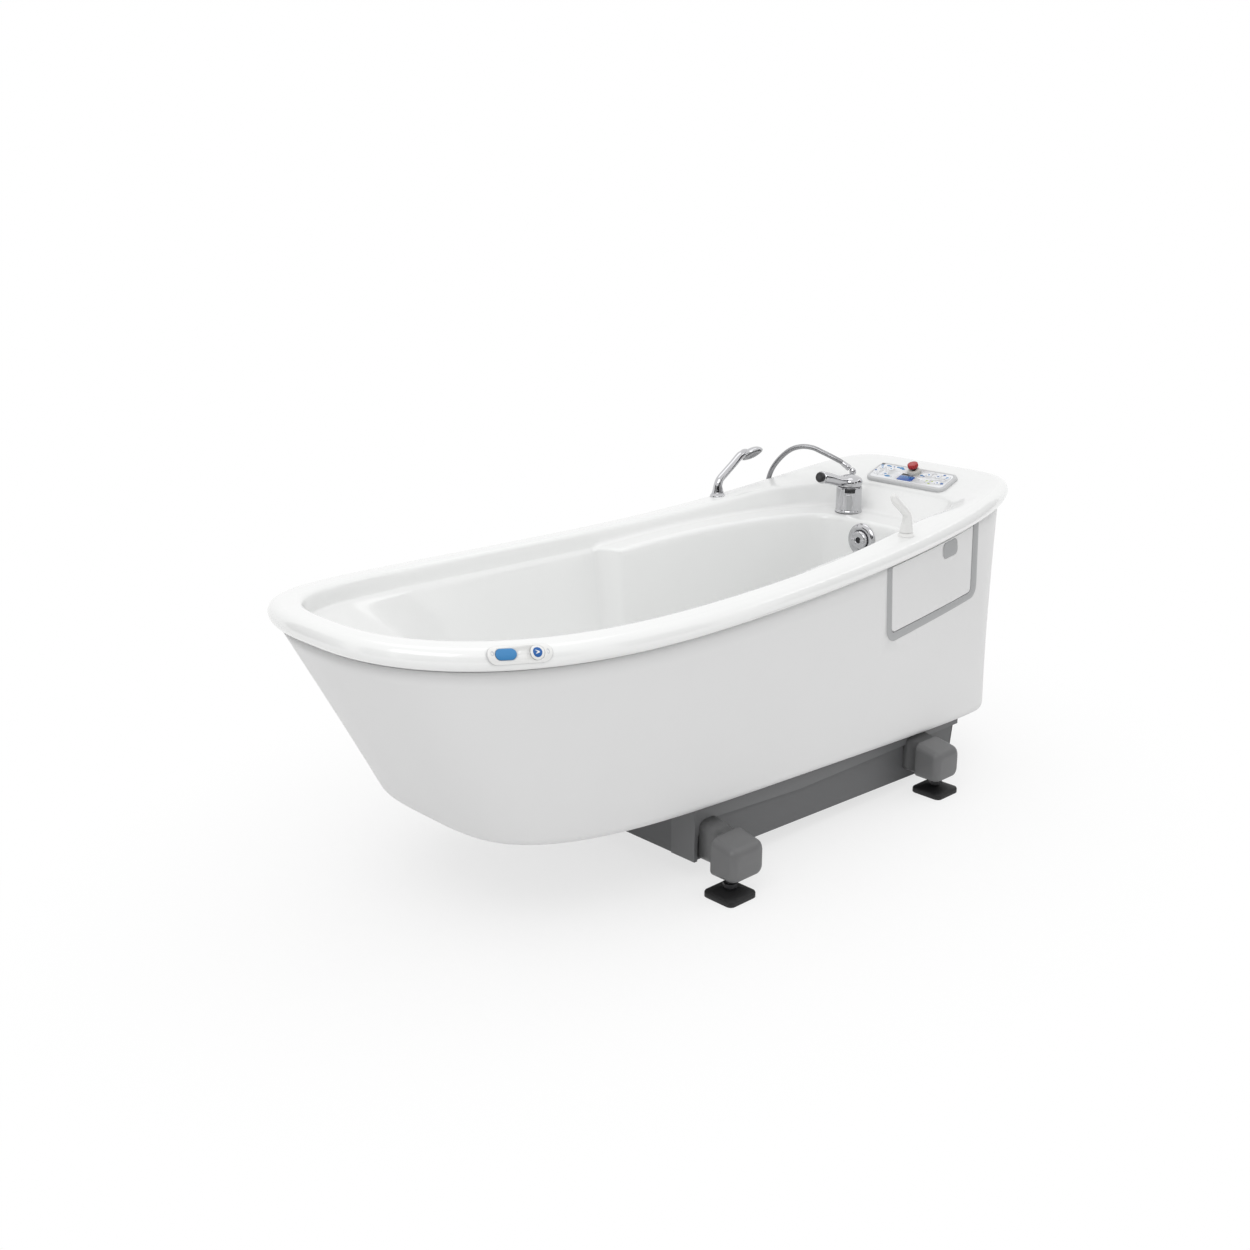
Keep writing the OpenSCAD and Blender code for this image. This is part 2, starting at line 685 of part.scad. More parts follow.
// Control panel
foil_t = 1.4;
border = 9;
module panel_frame() {
    color("silver") at_panel() translate([panel_d / 2, 0, 0]) difference() {
        union() {
            linear_extrude(panel_h - 2) round_rect(panel_d, panel_w, panel_r);
            linear_extrude(panel_h) round_rect(panel_d - 4, panel_w - 4, panel_r - 2);
            translate([0, 0, -18]) linear_extrude(20) round_rect(panel_d - 21, panel_w - 25, 11.5);
        }
        translate([0, 0, panel_h - foil_t - 0.6]) linear_extrude(10)
            round_rect(panel_d - 2 * border, panel_w - 2 * border, panel_r - border);
        translate([0, 0, -17]) linear_extrude(20 + panel_h - foil_t - 7)
            round_rect(panel_d - 25, panel_w - 30, 9);
        for (k = keys) translate([k.x - panel_d / 2, k.y, -1]) cylinder(d = key_d - 4, h = 20);
        translate([stop_at.x - panel_d / 2, stop_at.y, -1]) cylinder(d = 18, h = 30);
    }
}
key_d = 15;
key_travel = 0.8;
keys = [[30, 108], [58, 108], [30, 78], [58, 78], [60, -48], [60, -78], [60, -108],
        [30, -62], [30, -96]];
stop_at = [58, 0];
collar_foot_d = 36;
foil_z = panel_h - foil_t - 0.6 + 0.1;
module panel_foil() {
    color("white") at_panel() translate([0, 0, foil_z]) difference() {
        translate([panel_d / 2, 0, 0]) linear_extrude(foil_t)
            round_rect(panel_d - 2 * border - 0.6, panel_w - 2 * border - 0.6, panel_r - border);
        for (k = keys) translate([k.x, k.y, -1]) cylinder(d = key_d + 2 * run, h = 5);
        translate([stop_at.x, stop_at.y, -1]) cylinder(d = collar_foot_d + 2 * seat, h = 5);
        translate([display_at.x, display_at.y, -1]) linear_extrude(5) round_rect(24.6, 50.6, 5);
    }
}
display_at = [26, 6];
module display() {
    color("navy") at_panel() translate([display_at.x, display_at.y, foil_z])
        linear_extrude(foil_t + 0.4) round_rect(24, 50, 4.7);
}
module panel_key(k) {
    color("aliceblue") at_panel() translate([keys[k].x, keys[k].y, foil_z + key_travel + 0.1]) {
        cylinder(d = key_d, h = foil_t);
        translate([0, 0, -key_travel - 3]) cylinder(d = key_d - 5, h = 4);
    }
}
stop_travel = 5;
module stop_collar() {
    color("gainsboro") at_panel() translate([stop_at.x, stop_at.y, foil_z]) difference() {
        union() {
            cylinder(d = collar_foot_d, h = 9);
            translate([0, 0, 9]) cylinder(d1 = collar_foot_d, d2 = collar_foot_d - 7, h = 4);
            translate([0, 0, -15]) cylinder(d = 17.4, h = 16);
        }
        translate([0, 0, -16]) cylinder(d = 12 + 2 * run, h = 40);
        translate([0, 0, 13 - 2.2]) cylinder(d = 18 + 2 * run, h = 10);
    }
}
stop_z = 13 + stop_travel + 0.4;
module at_stop() {
    at_panel() translate([stop_at.x, stop_at.y, foil_z]) children();
}
module stop_stem() {
    color("dimgray") at_stop() {
        translate([0, 0, -12]) cylinder(d = 12, h = 12 + stop_z + 6);
        translate([0, 0, stop_z - 2]) cylinder(d = 18, h = 1.8);
    }
}
module stop_button() {
    color("red") at_stop() translate([0, 0, stop_z]) difference() {
        union() {
            cylinder(d1 = stop_d - 5, d2 = stop_d, h = 7);
            translate([0, 0, 7]) cylinder(d1 = stop_d, d2 = stop_d - 7, h = 5);
        }
        translate([0, 0, -1]) cylinder(d = 12 + 2 * seat, h = 7.4);
    }
}

// Mixer and hose
shank_l = 60;
module mixer_gasket() {
    color("black") at_mixer() translate([0, 0, 0]) difference() {
        cylinder(d = mixer_d + 4, h = 1.5);
        translate([0, 0, -1]) cylinder(d = tap_hole_d, h = 4);
    }
}
outlet_turn = 30;
outlet_z = mixer_h - 15;
elbow_rise = 47;
outlet_r = mixer_d / 2 + 15;
module mixer_body() {
    color("gainsboro") at_mixer() difference() {
        union() {
            translate([0, 0, 1.5]) cylinder(d = mixer_d + 4, h = 5);
            translate([0, 0, 6.5]) cylinder(d1 = mixer_d + 4, d2 = mixer_d, h = 2);
            translate([0, 0, 8.5]) cylinder(d = mixer_d, h = mixer_h - 10.5);
            translate([0, 0, mixer_h - 2]) cylinder(d1 = mixer_d, d2 = mixer_d - 4, h = 2);
            translate([0, 0, -shank_l]) cylinder(d = tap_hole_d - 1, h = shank_l + 2);
            rotate([0, 90, outlet_turn]) translate([-outlet_z, 0, 20]) cylinder(d = 22, h = outlet_r - 29);
        }
        translate([0, 0, mixer_h - 30]) cylinder(d = 44, h = 40);
        for (i = [-1, 1]) translate([0, i * tail_y, -shank_l - 1])
            cylinder(d = tail_bore + 2, h = shank_l + 20);
        rotate([0, 90, outlet_turn]) translate([-outlet_z, 0, 12]) cylinder(d = 11, h = 60);
    }
}
// Hot and cold supply tails under the shank
tail_y = 8;
tail_d = 12;
tail_bore = 8;
tail_l = 45;
module supply_tails() {
    color("silver") at_mixer() for (i = [-1, 1])
        translate([0, i * tail_y, -shank_l - seat - tail_l]) difference() {
            cylinder(d = tail_d, h = tail_l);
            translate([0, 0, -1]) cylinder(d = tail_bore, h = tail_l + 2);
        }
}
module mixer_cartridge() {
    color("white") at_mixer() translate([0, 0, mixer_h - 30 + seat]) {
        cylinder(d = 44 - 2 * seat, h = 24);
    }
}
// The stem turns in the cartridge and carries the pin that the handle tilts on
handle_z = mixer_h + 1.6;
tilt_x = mixer_d / 2 - 5.5;
tilt_z = handle_z + 7;
tilt_pin_d = 4;
module tilt_pin(d, l) {
    translate([tilt_x, l / 2, tilt_z]) rotate([90, 0, 0]) cylinder(d = d, h = l);
}
module mixer_stem() {
    color("dimgray") at_mixer() {
        translate([0, 0, mixer_h - 6 + 2 * seat]) cylinder(d = 30, h = 6);
        translate([0, 0, mixer_h - 1]) cylinder(d = 24, h = handle_z + 10 - mixer_h + 1);
        translate([0, -6, tilt_z - 2.5]) cube([tilt_x, 12, 5]);
        tilt_pin(tilt_pin_d, 18);
    }
}
// The handle turns on the cartridge and its lever points at the seat
module mixer_handle() {
    color("gainsboro") at_mixer() difference() {
        union() {
            translate([0, 0, handle_z]) cylinder(d1 = mixer_d - 3, d2 = mixer_d, h = 3);
            translate([0, 0, handle_z + 3]) cylinder(d = mixer_d, h = 11);
            translate([0, 0, handle_z + 14]) rotate_extrude()
                polygon(concat([[0, -1], [mixer_d / 2, -1]],
                    [for (k = [0 : 5]) [mixer_d / 2 * cos(15 * k), 14.5 * sin(15 * k)]],
                    [[0, 14.5]]));
            swept([[0, 0, handle_z + 14.5], [-26, 0, handle_z + 14.5], [-52, 0, handle_z + 20],
                   [-88, 0, handle_z + 31], [-112, 0, handle_z + 37], [-124, 0, handle_z + 39]],
                  [12, 13.5, 15, 14.5, 14, 13], 20, [0, 1, 0]);
        }
        translate([0, 0, handle_z - 1]) cylinder(d = mixer_d - 6, h = 12);
        tilt_pin(tilt_pin_d + 2 * run, 18.8);
        translate([-128, 0, handle_z + 40]) rotate([0, 102.5, 0]) cylinder(d = 18, h = 12);
    }
}
module handle_tip() {
    color("black") at_mixer() translate([-128, 0, handle_z + 40]) rotate([0, 102.5, 0])
        translate([0, 0, 3]) cylinder(d = 17.4, h = 8.7);
}
function around(r, z) = [mixer_x + r * cos(outlet_turn), mixer_y + r * sin(outlet_turn),
                         mixer_seat + z];
elbow_top = around(outlet_r, outlet_z + elbow_rise);
module hose_elbow() {
    color("gainsboro") {
        at_mixer() rotate([0, 90, outlet_turn]) translate([-outlet_z, 0, outlet_r - 8.9])
            cylinder(d = 20, h = 18);
        translate(around(outlet_r, outlet_z)) cylinder(d = 15, h = elbow_rise - 4);
        translate(elbow_top) sphere(d = 19);
    }
}
// The hose leaves the ball joint, arches over the far rim and returns into the casing
hose_start = [-0.42, 0.70, 0.58];
ferrule_l = 26;
hose_0 = elbow_top + (10 + ferrule_l) * unit(hose_start);
hose_pts = [[778, 178.5, 769], [769, 203, 779], [756, 226, 789], [741, 252, 791], [726, 279, 781], [713, 304, 757],
            [704, 326, 724], [702, 340, 686], [703, 347, 646], [704, 351, 604], [703, 354, 562],
            [699, 357, 522], [690, 360, 487], [675, 362, 460], [655, 362, 448], [634, 361, 453],
            [619, 360, 471], [612, 359, 493], [610, 356, 511], [610, 349, 523], [610, 340, 528]];
hose_end = [grommet_x, side_y(grommet_x, grommet_z) + 6.5, grommet_z];
route = concat([hose_0 + 6 * unit(hose_start)], hose_pts, [hose_end]);
function bend(a, b, c, d, t) =
    0.5 * (2 * b + (c - a) * t + (2 * a - 5 * b + 4 * c - d) * t * t
           + (3 * b - a - 3 * c + d) * t * t * t);
function smooth(p, m) = let (n = len(p))
    concat([for (i = [0 : n - 2], k = [0 : m - 1])
        bend(p[max(i - 1, 0)], p[i], p[i + 1], p[min(i + 2, n - 1)], k / m)], [p[n - 1]]);
module hose_ferrule() {
    color("gainsboro") swept([elbow_top + 9.9 * unit(hose_start), elbow_top + 20 * unit(hose_start),
                              hose_0 - 0.6 * unit(hose_start)], [8.5, 9, 7.6], 20);
}
module shower_hose() {
    color("silver") swept(concat([hose_0], smooth(route, 2)), hose_d / 2, 10);
}
module hose_grommet() {
    y = side_y(grommet_x, grommet_z);
    color("black") translate([grommet_x, y - apron_t - 2, grommet_z]) rotate([-90, 0, 0]) {
        cylinder(d = 24 - 2 * seat, h = apron_t + 3);
        translate([0, 0, apron_t + 3]) cylinder(d1 = 32, d2 = 26, h = 4);
    }
}

// Handset and spray handle on the rim
socket_d = 17;
module rim_collar(d) {
    difference() {
        union() {
            translate([0, 0, 0.1]) cylinder(d = d, h = 5);
            translate([0, 0, 5.1]) cylinder(d1 = d, d2 = d - 10, h = 5);
            translate([0, 0, -30]) cylinder(d = collar_hole_d - 1, h = 31);
        }
        translate([0, 0, -26]) cylinder(d = socket_d, h = 60);
    }
}
module handset_collar() {
    color("gainsboro") at_handset() rim_collar(collar_d);
}
module spray_collar() {
    color("white") at_spray() rim_collar(collar_d - 2);
}
module ring_nut() {
    translate([0, 0, -17]) difference() {
        cylinder(d = 31, h = 6);
        translate([0, 0, -1]) cylinder(d = collar_hole_d - 1 + 2 * seat, h = 10);
    }
}
module back_nuts() {
    color("goldenrod") {
        at_handset() ring_nut();
        at_spray() ring_nut();
        at_mixer() translate([0, 0, -shell_t - 14]) difference() {
            cylinder(d = 58, h = 10);
            translate([0, 0, -1]) cylinder(d = tap_hole_d - 1 + 2 * seat, h = 20);
        }
    }
}
stub_z = 10.5;
hand_pts = [[0, 0, 10], [0, 0, 18], [0.5, 0, 30], [8, 0, 45], [30, 0, 61], [59, 0, 80.5],
            [85, 1.8, 97.4], [97, 3.4, 100.6], [109, 5.2, 104.3], [121, 5.3, 105.4]];
hand_r = [16.5, 14.5, 12, 11, 11, 11, 11, 11, 10.5, 9];
hand_head = [133, 1, 100.5];
// The head's face looks down and a little to the near side
module at_head() {
    translate([0, 0, stub_z - 10] + hand_head) rotate([0, 144.3, -90]) children();
}
module handset() {
    color("gainsboro") at_handset() {
        translate([0, 0, -25]) cylinder(d = socket_d - 2 * run, h = 25 + stub_z + 1);
        translate([0, 0, stub_z]) swept(hand_pts - [for (p = hand_pts) [0, 0, 10]], hand_r, 18);
        at_head() {
            translate([0, 0, -12]) cylinder(d1 = 44, d2 = 66, h = 14);
            translate([0, 0, 2]) cylinder(d1 = 66, d2 = 64, h = 4);
        }
    }
}
module handset_face() {
    color("dimgray") at_handset() at_head() translate([0, 0, 6.1]) cylinder(d = 50, h = 3);
}
spray_pts = [[0, 0, 0], [0, 0, 12], [-1, -2, 28], [-10, -6, 46], [-28, -8, 62], [-46, -8, 76],
             [-60, -8, 88], [-66, -8, 98], [-62, -8, 104]];
spray_r = [16.5, 15, 12, 10.5, 10, 10, 9.5, 9, 6];
module spray_handle() {
    color("white") at_spray() {
        translate([0, 0, -25]) cylinder(d = socket_d - 2 * run, h = 25 + stub_z + 1);
        translate([0, 0, stub_z]) swept(spray_pts, spray_r, 18);
    }
}

// Overflow, waste and pipes
module overflow_rosette() {
    color("gainsboro") at_overflow() difference() {
        union() {
            translate([0, 0, seat]) cylinder(d = rosette_d, h = 4);
            translate([0, 0, seat + 4]) cylinder(d1 = rosette_d, d2 = rosette_d - 18, h = 5);
            translate([0, 0, -26]) cylinder(d = overflow_hole_d - 1, h = 27);
        }
        translate([0, 0, -30]) cylinder(d = overflow_hole_d - 9, h = 32);
        translate([0, 0, 5]) cylinder(d = 52.8, h = 20);
        translate([0, 0, -10]) cylinder(d = 10.8, h = 20);
        for (k = [0 : 5]) rotate(k * 60) translate([16, 0, -10]) cylinder(d = 6, h = 20);
    }
}
module waste_knob() {
    color("gainsboro") at_overflow() difference() {
        union() {
            translate([0, 0, 5.4]) cylinder(d = 52, h = 10);
            translate([0, 0, 15.4]) cylinder(d1 = 52, d2 = 44, h = 4);
            translate([0, 0, -8]) cylinder(d = 10, h = 14);
            for (k = [0 : 1]) rotate(k * 180) translate([-4, 0, 15]) cube([8, 23, 7]);
        }
        translate([0, 0, 12]) cylinder(d = 16, h = 20);
    }
}
pipe_x = overflow_x + 40;
pipe_d = 32;
module overflow_elbow() {
    color("dimgray") difference() {
        union() {
            at_overflow() translate([0, 0, -50]) cylinder(d = overflow_hole_d + 10, h = 41);
            translate([pipe_x, 0, overflow_z - 60]) cylinder(d = pipe_d + 8, h = 60);
        }
        at_overflow() translate([0, 0, -44]) cylinder(d = overflow_hole_d - 1 + 2 * seat, h = 60);
        translate([pipe_x, 0, overflow_z - 70]) cylinder(d = pipe_d, h = 50);
    }
}
module overflow_pipe() {
    color("dimgray") difference() {
        union() {
            translate([pipe_x, 0, waste_z])
                cylinder(d = pipe_d - 2 * seat, h = overflow_z - 50 - waste_z);
            translate([drain_x + trap_d / 2, 0, waste_z]) rotate([0, 90, 0])
                cylinder(d = pipe_d - 2 * seat, h = pipe_x - drain_x - trap_d / 2);
            translate([pipe_x, 0, waste_z]) sphere(d = pipe_d - 2 * seat);
        }
        translate([pipe_x, 0, waste_z + 4]) cylinder(d = pipe_d - 6, h = overflow_z);
    }
}
module waste_flange() {
    color("gainsboro") at_drain() difference() {
        union() {
            translate([0, 0, 0.2]) cylinder(d = flange_d, h = 2.4);
            translate([0, 0, -30]) cylinder(d = drain_hole_d - 1, h = 31);
        }
        translate([0, 0, -40]) cylinder(d = drain_hole_d - 8, h = 60);
        translate([0, 0, 0.9]) cylinder(d1 = drain_hole_d - 8, d2 = drain_hole_d, h = 2);
    }
}
module waste_plug() {
    color("gainsboro") at_drain() {
        translate([0, 0, -1.5]) cylinder(d = drain_hole_d - 8 - 2 * run, h = 3);
        translate([0, 0, 1.5]) cylinder(d1 = drain_hole_d - 8 - 2 * run, d2 = 30, h = 3);
        translate([0, 0, -22]) cylinder(d = 8, h = 22);
    }
}
trap_z = floor_z(drain_x) - shell_t - 2;
trap_d = 90;
waste_z = trap_z - 34;
waste_d = 40;
waste_turn = -70;
module trap_axis() {
    translate([drain_x, 0, waste_z]) rotate([0, 90, waste_turn]) children();
}
module waste_trap() {
    color("dimgray") difference() {
        union() {
            translate([drain_x, 0, trap_z - 56]) cylinder(d = trap_d, h = 55);
            trap_axis() cylinder(d = waste_d + 8, h = trap_d / 2 + 20);
        }
        translate([drain_x, 0, trap_z - 50]) cylinder(d = drain_hole_d - 1 + 2 * seat, h = 60);
        trap_axis() translate([0, 0, trap_d / 2 - 5]) cylinder(d = waste_d + 2 * seat, h = 40);
        trap_axis() cylinder(d = waste_d - 6, h = 60);
        translate([drain_x, 0, waste_z]) rotate([0, 90, 0]) cylinder(d = pipe_d, h = 60);
    }
}
// The waste pipe turns to the foot end and ends in a socket that faces the floor
waste_bend = 112;
waste_y = waste_bend * sin(waste_turn);
waste_end = [well_end + shelf_d, waste_y, waste_z];
socket_r = 22;
socket_l = 38;
socket_z = waste_z - waste_d / 2 + 2 - socket_l;
module waste_pipe() {
    p = [drain_x + waste_bend * cos(waste_turn), waste_y, waste_z];
    bore = waste_d - 6;
    color("dimgray") difference() {
        union() {
            trap_axis() translate([0, 0, trap_d / 2 - 4.7])
                cylinder(d = waste_d, h = waste_bend - trap_d / 2 + 4.7);
            translate(p) rotate([0, 0, 235]) cylinder(d = waste_d + 10, h = waste_d + 6, center = true);
            translate(p) rotate([0, 90, 0]) cylinder(d = waste_d, h = waste_end.x - p.x);
            translate([waste_end.x, waste_y, socket_z])
                cylinder(r = socket_r + 3, h = waste_z + waste_d / 2 + 5 - socket_z);
        }
        trap_axis() translate([0, 0, 20]) cylinder(d = bore, h = waste_bend - 20);
        translate(p) rotate([0, 0, 235]) cylinder(d = bore + 8, h = bore + 4, center = true);
        translate(p) rotate([0, 90, 0]) cylinder(d = bore, h = waste_end.x - p.x);
        translate([waste_end.x, waste_y, socket_z - 1]) cylinder(r = socket_r, h = socket_l + 1);
        translate([waste_end.x, waste_y, socket_z])
            cylinder(d = bore + 3, h = waste_z + waste_d / 2 + 1 - socket_z);
    }
}

// Keypad on the near rim's roll, at the head end
pill_x = -762;
pill_lift = 34;
pill_t = 3.5;
pill_turn = atan2(rim_half(pill_x + 40) - rim_half(pill_x - 40), 80);
module roll_tube(d) {
    skin([for (k = [11 : -1 : 0]) roll_ring(roll_r + d, 30 * k)]);
}
module at_pill() {
    translate([pill_x, -rim_half(pill_x) + roll_r, roll_z(pill_x)])
        rotate([0, 0, -pill_turn]) rotate([90 - pill_lift, 0, 0]) children();
}
// Key positions along the keypad
pill_keys = [-30, 32];
up_l = 40;
up_w = 26;
call_d = 30;
module pill_solid(l, w, x = 0) {
    at_pill() translate([x, 0, 5]) linear_extrude(40) round_rect(l, w, min(l, w) / 2 - 0.1);
}
module keypad_hole() {
    at_pill() translate([0, 0, 10]) cylinder(d = 10, h = 30);
}
module keypad_housing() {
    color("white") difference() {
        intersection() {
            roll_tube(pill_t);
            pill_solid(pill_l, pill_w);
        }
        roll_tube(2 * seat);
        pill_solid(up_l + 2 * run, up_w + 2 * run, pill_keys[0]);
        pill_solid(call_d + 2 * run, call_d + 2 * run, pill_keys[1]);
    }
}
module pill_key(l, w, x) {
    difference() {
        intersection() {
            roll_tube(pill_t + 0.7);
            pill_solid(l, w, x);
        }
        roll_tube(seat + 1.2);
    }
}
module keypad_up() {
    color("steelblue") pill_key(up_l, up_w, pill_keys[0]);
}
module keypad_call() {
    color("navy") pill_key(call_d, call_d, pill_keys[1]);
}

plinth_cover();
base_frame();
foot_boots();
foot_stems();
foot_pads();
column_outer();
column_middle();
column_inner();
pump_unit();
tub_carrier();
carrier_screws();
tub_shell();
apron();
hatch_frame();
hatch_door();
hatch_latch();
hatch_magnets();
panel_frame();
panel_foil();
display();
stop_collar();
stop_stem();
stop_button();
panel_key(0);  // key_1
panel_key(1);  // key_2
panel_key(2);  // key_3
panel_key(3);  // key_4
panel_key(4);  // key_5
panel_key(5);  // key_6
panel_key(6);  // key_7
panel_key(7);  // key_8
panel_key(8);  // key_9
mixer_gasket();
mixer_body();
supply_tails();
mixer_cartridge();
mixer_stem();
mixer_handle();
handle_tip();
hose_elbow();
hose_ferrule();
shower_hose();
hose_grommet();
handset_collar();
handset();
handset_face();
back_nuts();
spray_collar();
spray_handle();
overflow_rosette();
waste_knob();
overflow_elbow();
overflow_pipe();
waste_flange();
waste_plug();
waste_trap();
waste_pipe();
keypad_housing();
keypad_up();
keypad_call();
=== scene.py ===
import json
import bmesh
import bpy
from math import acos, atan, atan2, cos, degrees, pi, radians, sin
from mathutils import Matrix, Vector


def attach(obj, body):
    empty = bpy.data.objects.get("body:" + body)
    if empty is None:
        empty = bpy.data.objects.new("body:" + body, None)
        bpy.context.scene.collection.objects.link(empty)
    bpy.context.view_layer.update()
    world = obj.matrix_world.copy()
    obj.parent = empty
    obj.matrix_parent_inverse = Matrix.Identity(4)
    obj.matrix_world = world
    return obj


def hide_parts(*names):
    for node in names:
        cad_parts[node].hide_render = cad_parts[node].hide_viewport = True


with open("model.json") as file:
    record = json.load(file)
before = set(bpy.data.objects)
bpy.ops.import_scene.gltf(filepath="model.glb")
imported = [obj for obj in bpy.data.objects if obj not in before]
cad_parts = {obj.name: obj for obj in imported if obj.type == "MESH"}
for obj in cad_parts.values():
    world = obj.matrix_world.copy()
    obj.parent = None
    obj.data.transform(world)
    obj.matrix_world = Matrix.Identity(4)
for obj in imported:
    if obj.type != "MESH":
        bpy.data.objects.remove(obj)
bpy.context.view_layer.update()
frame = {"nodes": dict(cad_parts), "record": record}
nodes = frame["nodes"]
scene = bpy.context.scene
mm = 0.001


def lerp(a, b, t):
    return a + (b - a) * t


def clamp(t):
    return min(1.0, max(0.0, t))


def ease(t):
    c = clamp(t)
    return c * c * (3 - 2 * c)


def addObject(name, data):
    obj = bpy.data.objects.new(name, data)
    scene.collection.objects.link(obj)
    return obj


def middle(points):
    return sum(points, Vector()) / len(points)


# Angles of a quarter turn and of a full one
def quarter(n, first=0):
    return [pi / 2 * k / n for k in range(first, n + 1)]


def fullTurn(n):
    return [2 * pi * k / n for k in range(n)]


# Camera, found from the photograph's outlines
camera = addObject("camera", bpy.data.cameras.new("camera"))
camera.location = (-2.4828, -2.4496, 1.5573)
yaw, pitch = radians(43.315), radians(17.105)
camera.rotation_euler = (pi / 2 - pitch, 0, -yaw)
camera.data.lens = 43.69
camera.data.sensor_width = 36
camera.data.clip_end = 60
scene.camera = camera

# The bath's own measures, in millimetres, as in the solids
halfL, headHalf, footHalf = 1025.0, 448.0, 316.0
rimH, headRise, footRise, lowX, risePower = 634.0, 84.0, 58.0, -213.0, 2.33
rollR, rimW, rimWFoot, shellT = 25.0, 64.0, 86.0, 8.0
headN, footN = 2.78, 6.8
floorH, floorFall, wellEnd, shelfD, ledgeW, deckX = 240.0, 22.0, 711.0, 89.0, 66.0, 866.0
crown, deckDip, deckStart, stepL = 27.0, 28.0, 560.0, 45.0
ledgeDrop, ledgeRise, ledgeBow = 16.0, 10.0, 14.0
bowlN = 6.0
shelfEnd = wellEnd + shelfD
drainX = wellEnd - 151
headIn = halfL - rimW


def rollZ(x):
    u = (x - lowX) / halfL
    return rimH + (headRise if u < 0 else footRise) * abs(u) ** risePower


def taper(x):
    return lerp(headHalf, footHalf, (x + halfL) / (2 * halfL))


def rimHalf(x):
    n = headN if x < 0 else footN
    return taper(x) * max(0.0, 1 - (abs(x) / halfL) ** n) ** (1 / n)


def rimWidth(x):
    return lerp(rimW, rimWFoot, ease(x / wellEnd))


def planPt(a, head, foot, nh, nf, half):
    c, s = cos(a), sin(a)
    n = nh if c < 0 else nf
    r = (abs(c) ** n + abs(s) ** n) ** (-1 / n)
    x = (head if c < 0 else foot) * r * c
    return x, half(x) * r * s


def wellStep(x):
    return ease(x / stepL)


def ledgeZ(x):
    if x < 0:
        return rollZ(x) - ledgeDrop
    return rollZ(0) - ledgeDrop + ledgeRise * x / shelfEnd + ledgeBow * sin(pi * x / shelfEnd)


def shelf(x):
    return ledgeZ(x) if x < 0 else ledgeZ(x * shelfEnd / wellEnd)


def floorZ(x):
    return floorH + floorFall * (drainX - x) / 1000


def deckZ(x, reach, dip):
    return rollZ(x) + crown - dip * ease((x - deckStart) / (reach - deckStart))


# Stations round the outlines, crowded where the outlines turn
def stationAngles(perCorner, stepStations=8, tooNear=0.0012):
    out = []
    for q in range(4):
        for k in range(perCorner):
            t = k / perCorner
            out.append(radians(90 * (q + t + 0.10 * sin(2 * pi * t))))
    for k in range(stepStations + 1):
        a = acos(stepL * k / stepStations / wellEnd)
        out += [a, 2 * pi - a]
    out.sort()
    clean = [out[0]]
    for a in out[1:]:
        if a - clean[-1] > tooNear:
            clean.append(a)
    return clean


angles = stationAngles(64)


def rollRing(a, r, deg):
    d = rollR - r * cos(radians(deg))
    x, y = planPt(a, halfL - d, halfL - d, headN, footN, lambda q: taper(q) - d)
    return Vector((x, y, rollZ(x) + r * sin(radians(deg))))


def bowlPt(a, head, foot, seatIn, wellIn, z, t=0.0):
    x, y = planPt(a, head + t, foot + t, headN, bowlN,
                  lambda q: taper(q) - rimWidth(q) - lerp(seatIn, wellIn, wellStep(q)) + t)
    return Vector((x, y, z(x) - t))


midReach = lerp(deckX, halfL - rollR, 0.5)


def deckMid(a, t):
    x, y = planPt(a, halfL - rollR - rimW * 0.35, midReach, headN, footN,
                  lambda q: taper(q) - lerp(rollR, rimWidth(q), 0.5))
    return Vector((x, y, deckZ(x, midReach, deckDip / 2) - t))


def edgeRing(a, d, drop, t):
    x, y = planPt(a, headIn - d + t, deckX - d + t, headN, bowlN,
                  lambda q: taper(q) - rimWidth(q) - d + t)
    return Vector((x, y, deckZ(x, deckX, deckDip) - drop - (shellT if t > 0 else 0)))


# Sections from the ledge down: reach at head and foot, insets at seat and well, height
def bowl(a, t):
    return [
        bowlPt(a, headIn - 5, shelfEnd, 5, 5, ledgeZ, t),
        bowlPt(a, headIn - 8, wellEnd, 8, 5 + ledgeW,
               lambda x: shelf(x) - lerp(4, 3, wellStep(x)), t),
        bowlPt(a, headIn - 16, wellEnd - 6, 14, 11 + ledgeW, lambda x: shelf(x) - 15, t),
        bowlPt(a, 705, wellEnd - 15, 36, 18 + ledgeW, lambda x: 460.0, t),
        bowlPt(a, 545, wellEnd - 27, 66, 29 + ledgeW, lambda x: 330.0, t),
        bowlPt(a, 480, wellEnd - 42, 88, 45 + ledgeW, lambda x: floorZ(x) + 26, t),
        bowlPt(a, 440, wellEnd - 60, 108, 62 + ledgeW, lambda x: floorZ(x) + 6, t),
        bowlPt(a, 405, wellEnd - 84, 132, 84 + ledgeW, floorZ, t),
        bowlPt(a, 190, 300, 250, 200, floorZ, t),
    ]


# The shell's section at a station, from the deck down to the floor
def lineOf(a, t):
    top = [deckMid(a, t), edgeRing(a, -9, 0, t), edgeRing(a, 0, 5, t), edgeRing(a, 3, 13, t)]
    return top + bowl(a, t)


# Mesh helpers: a piece has its slot's material unless a tone is named; node is the solid that it replaces
def addMesh(name, verts, faces, body, slotName, tone=None, node=None, smooth=True):
    mesh = bpy.data.meshes.new(name)
    mesh.from_pydata([tuple(Vector(v) * mm) for v in verts], [], faces)
    bm = bmesh.new()
    bm.from_mesh(mesh)
    bmesh.ops.recalc_face_normals(bm, faces=bm.faces)
    for f in bm.faces:
        f.smooth = smooth
    bm.to_mesh(mesh)
    bm.free()
    obj = addObject(name, mesh)
    mesh.materials.append(mats[tone or slotMats[slotName]])
    if body:
        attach(obj, body)
    if node:
        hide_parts(node)
    return obj


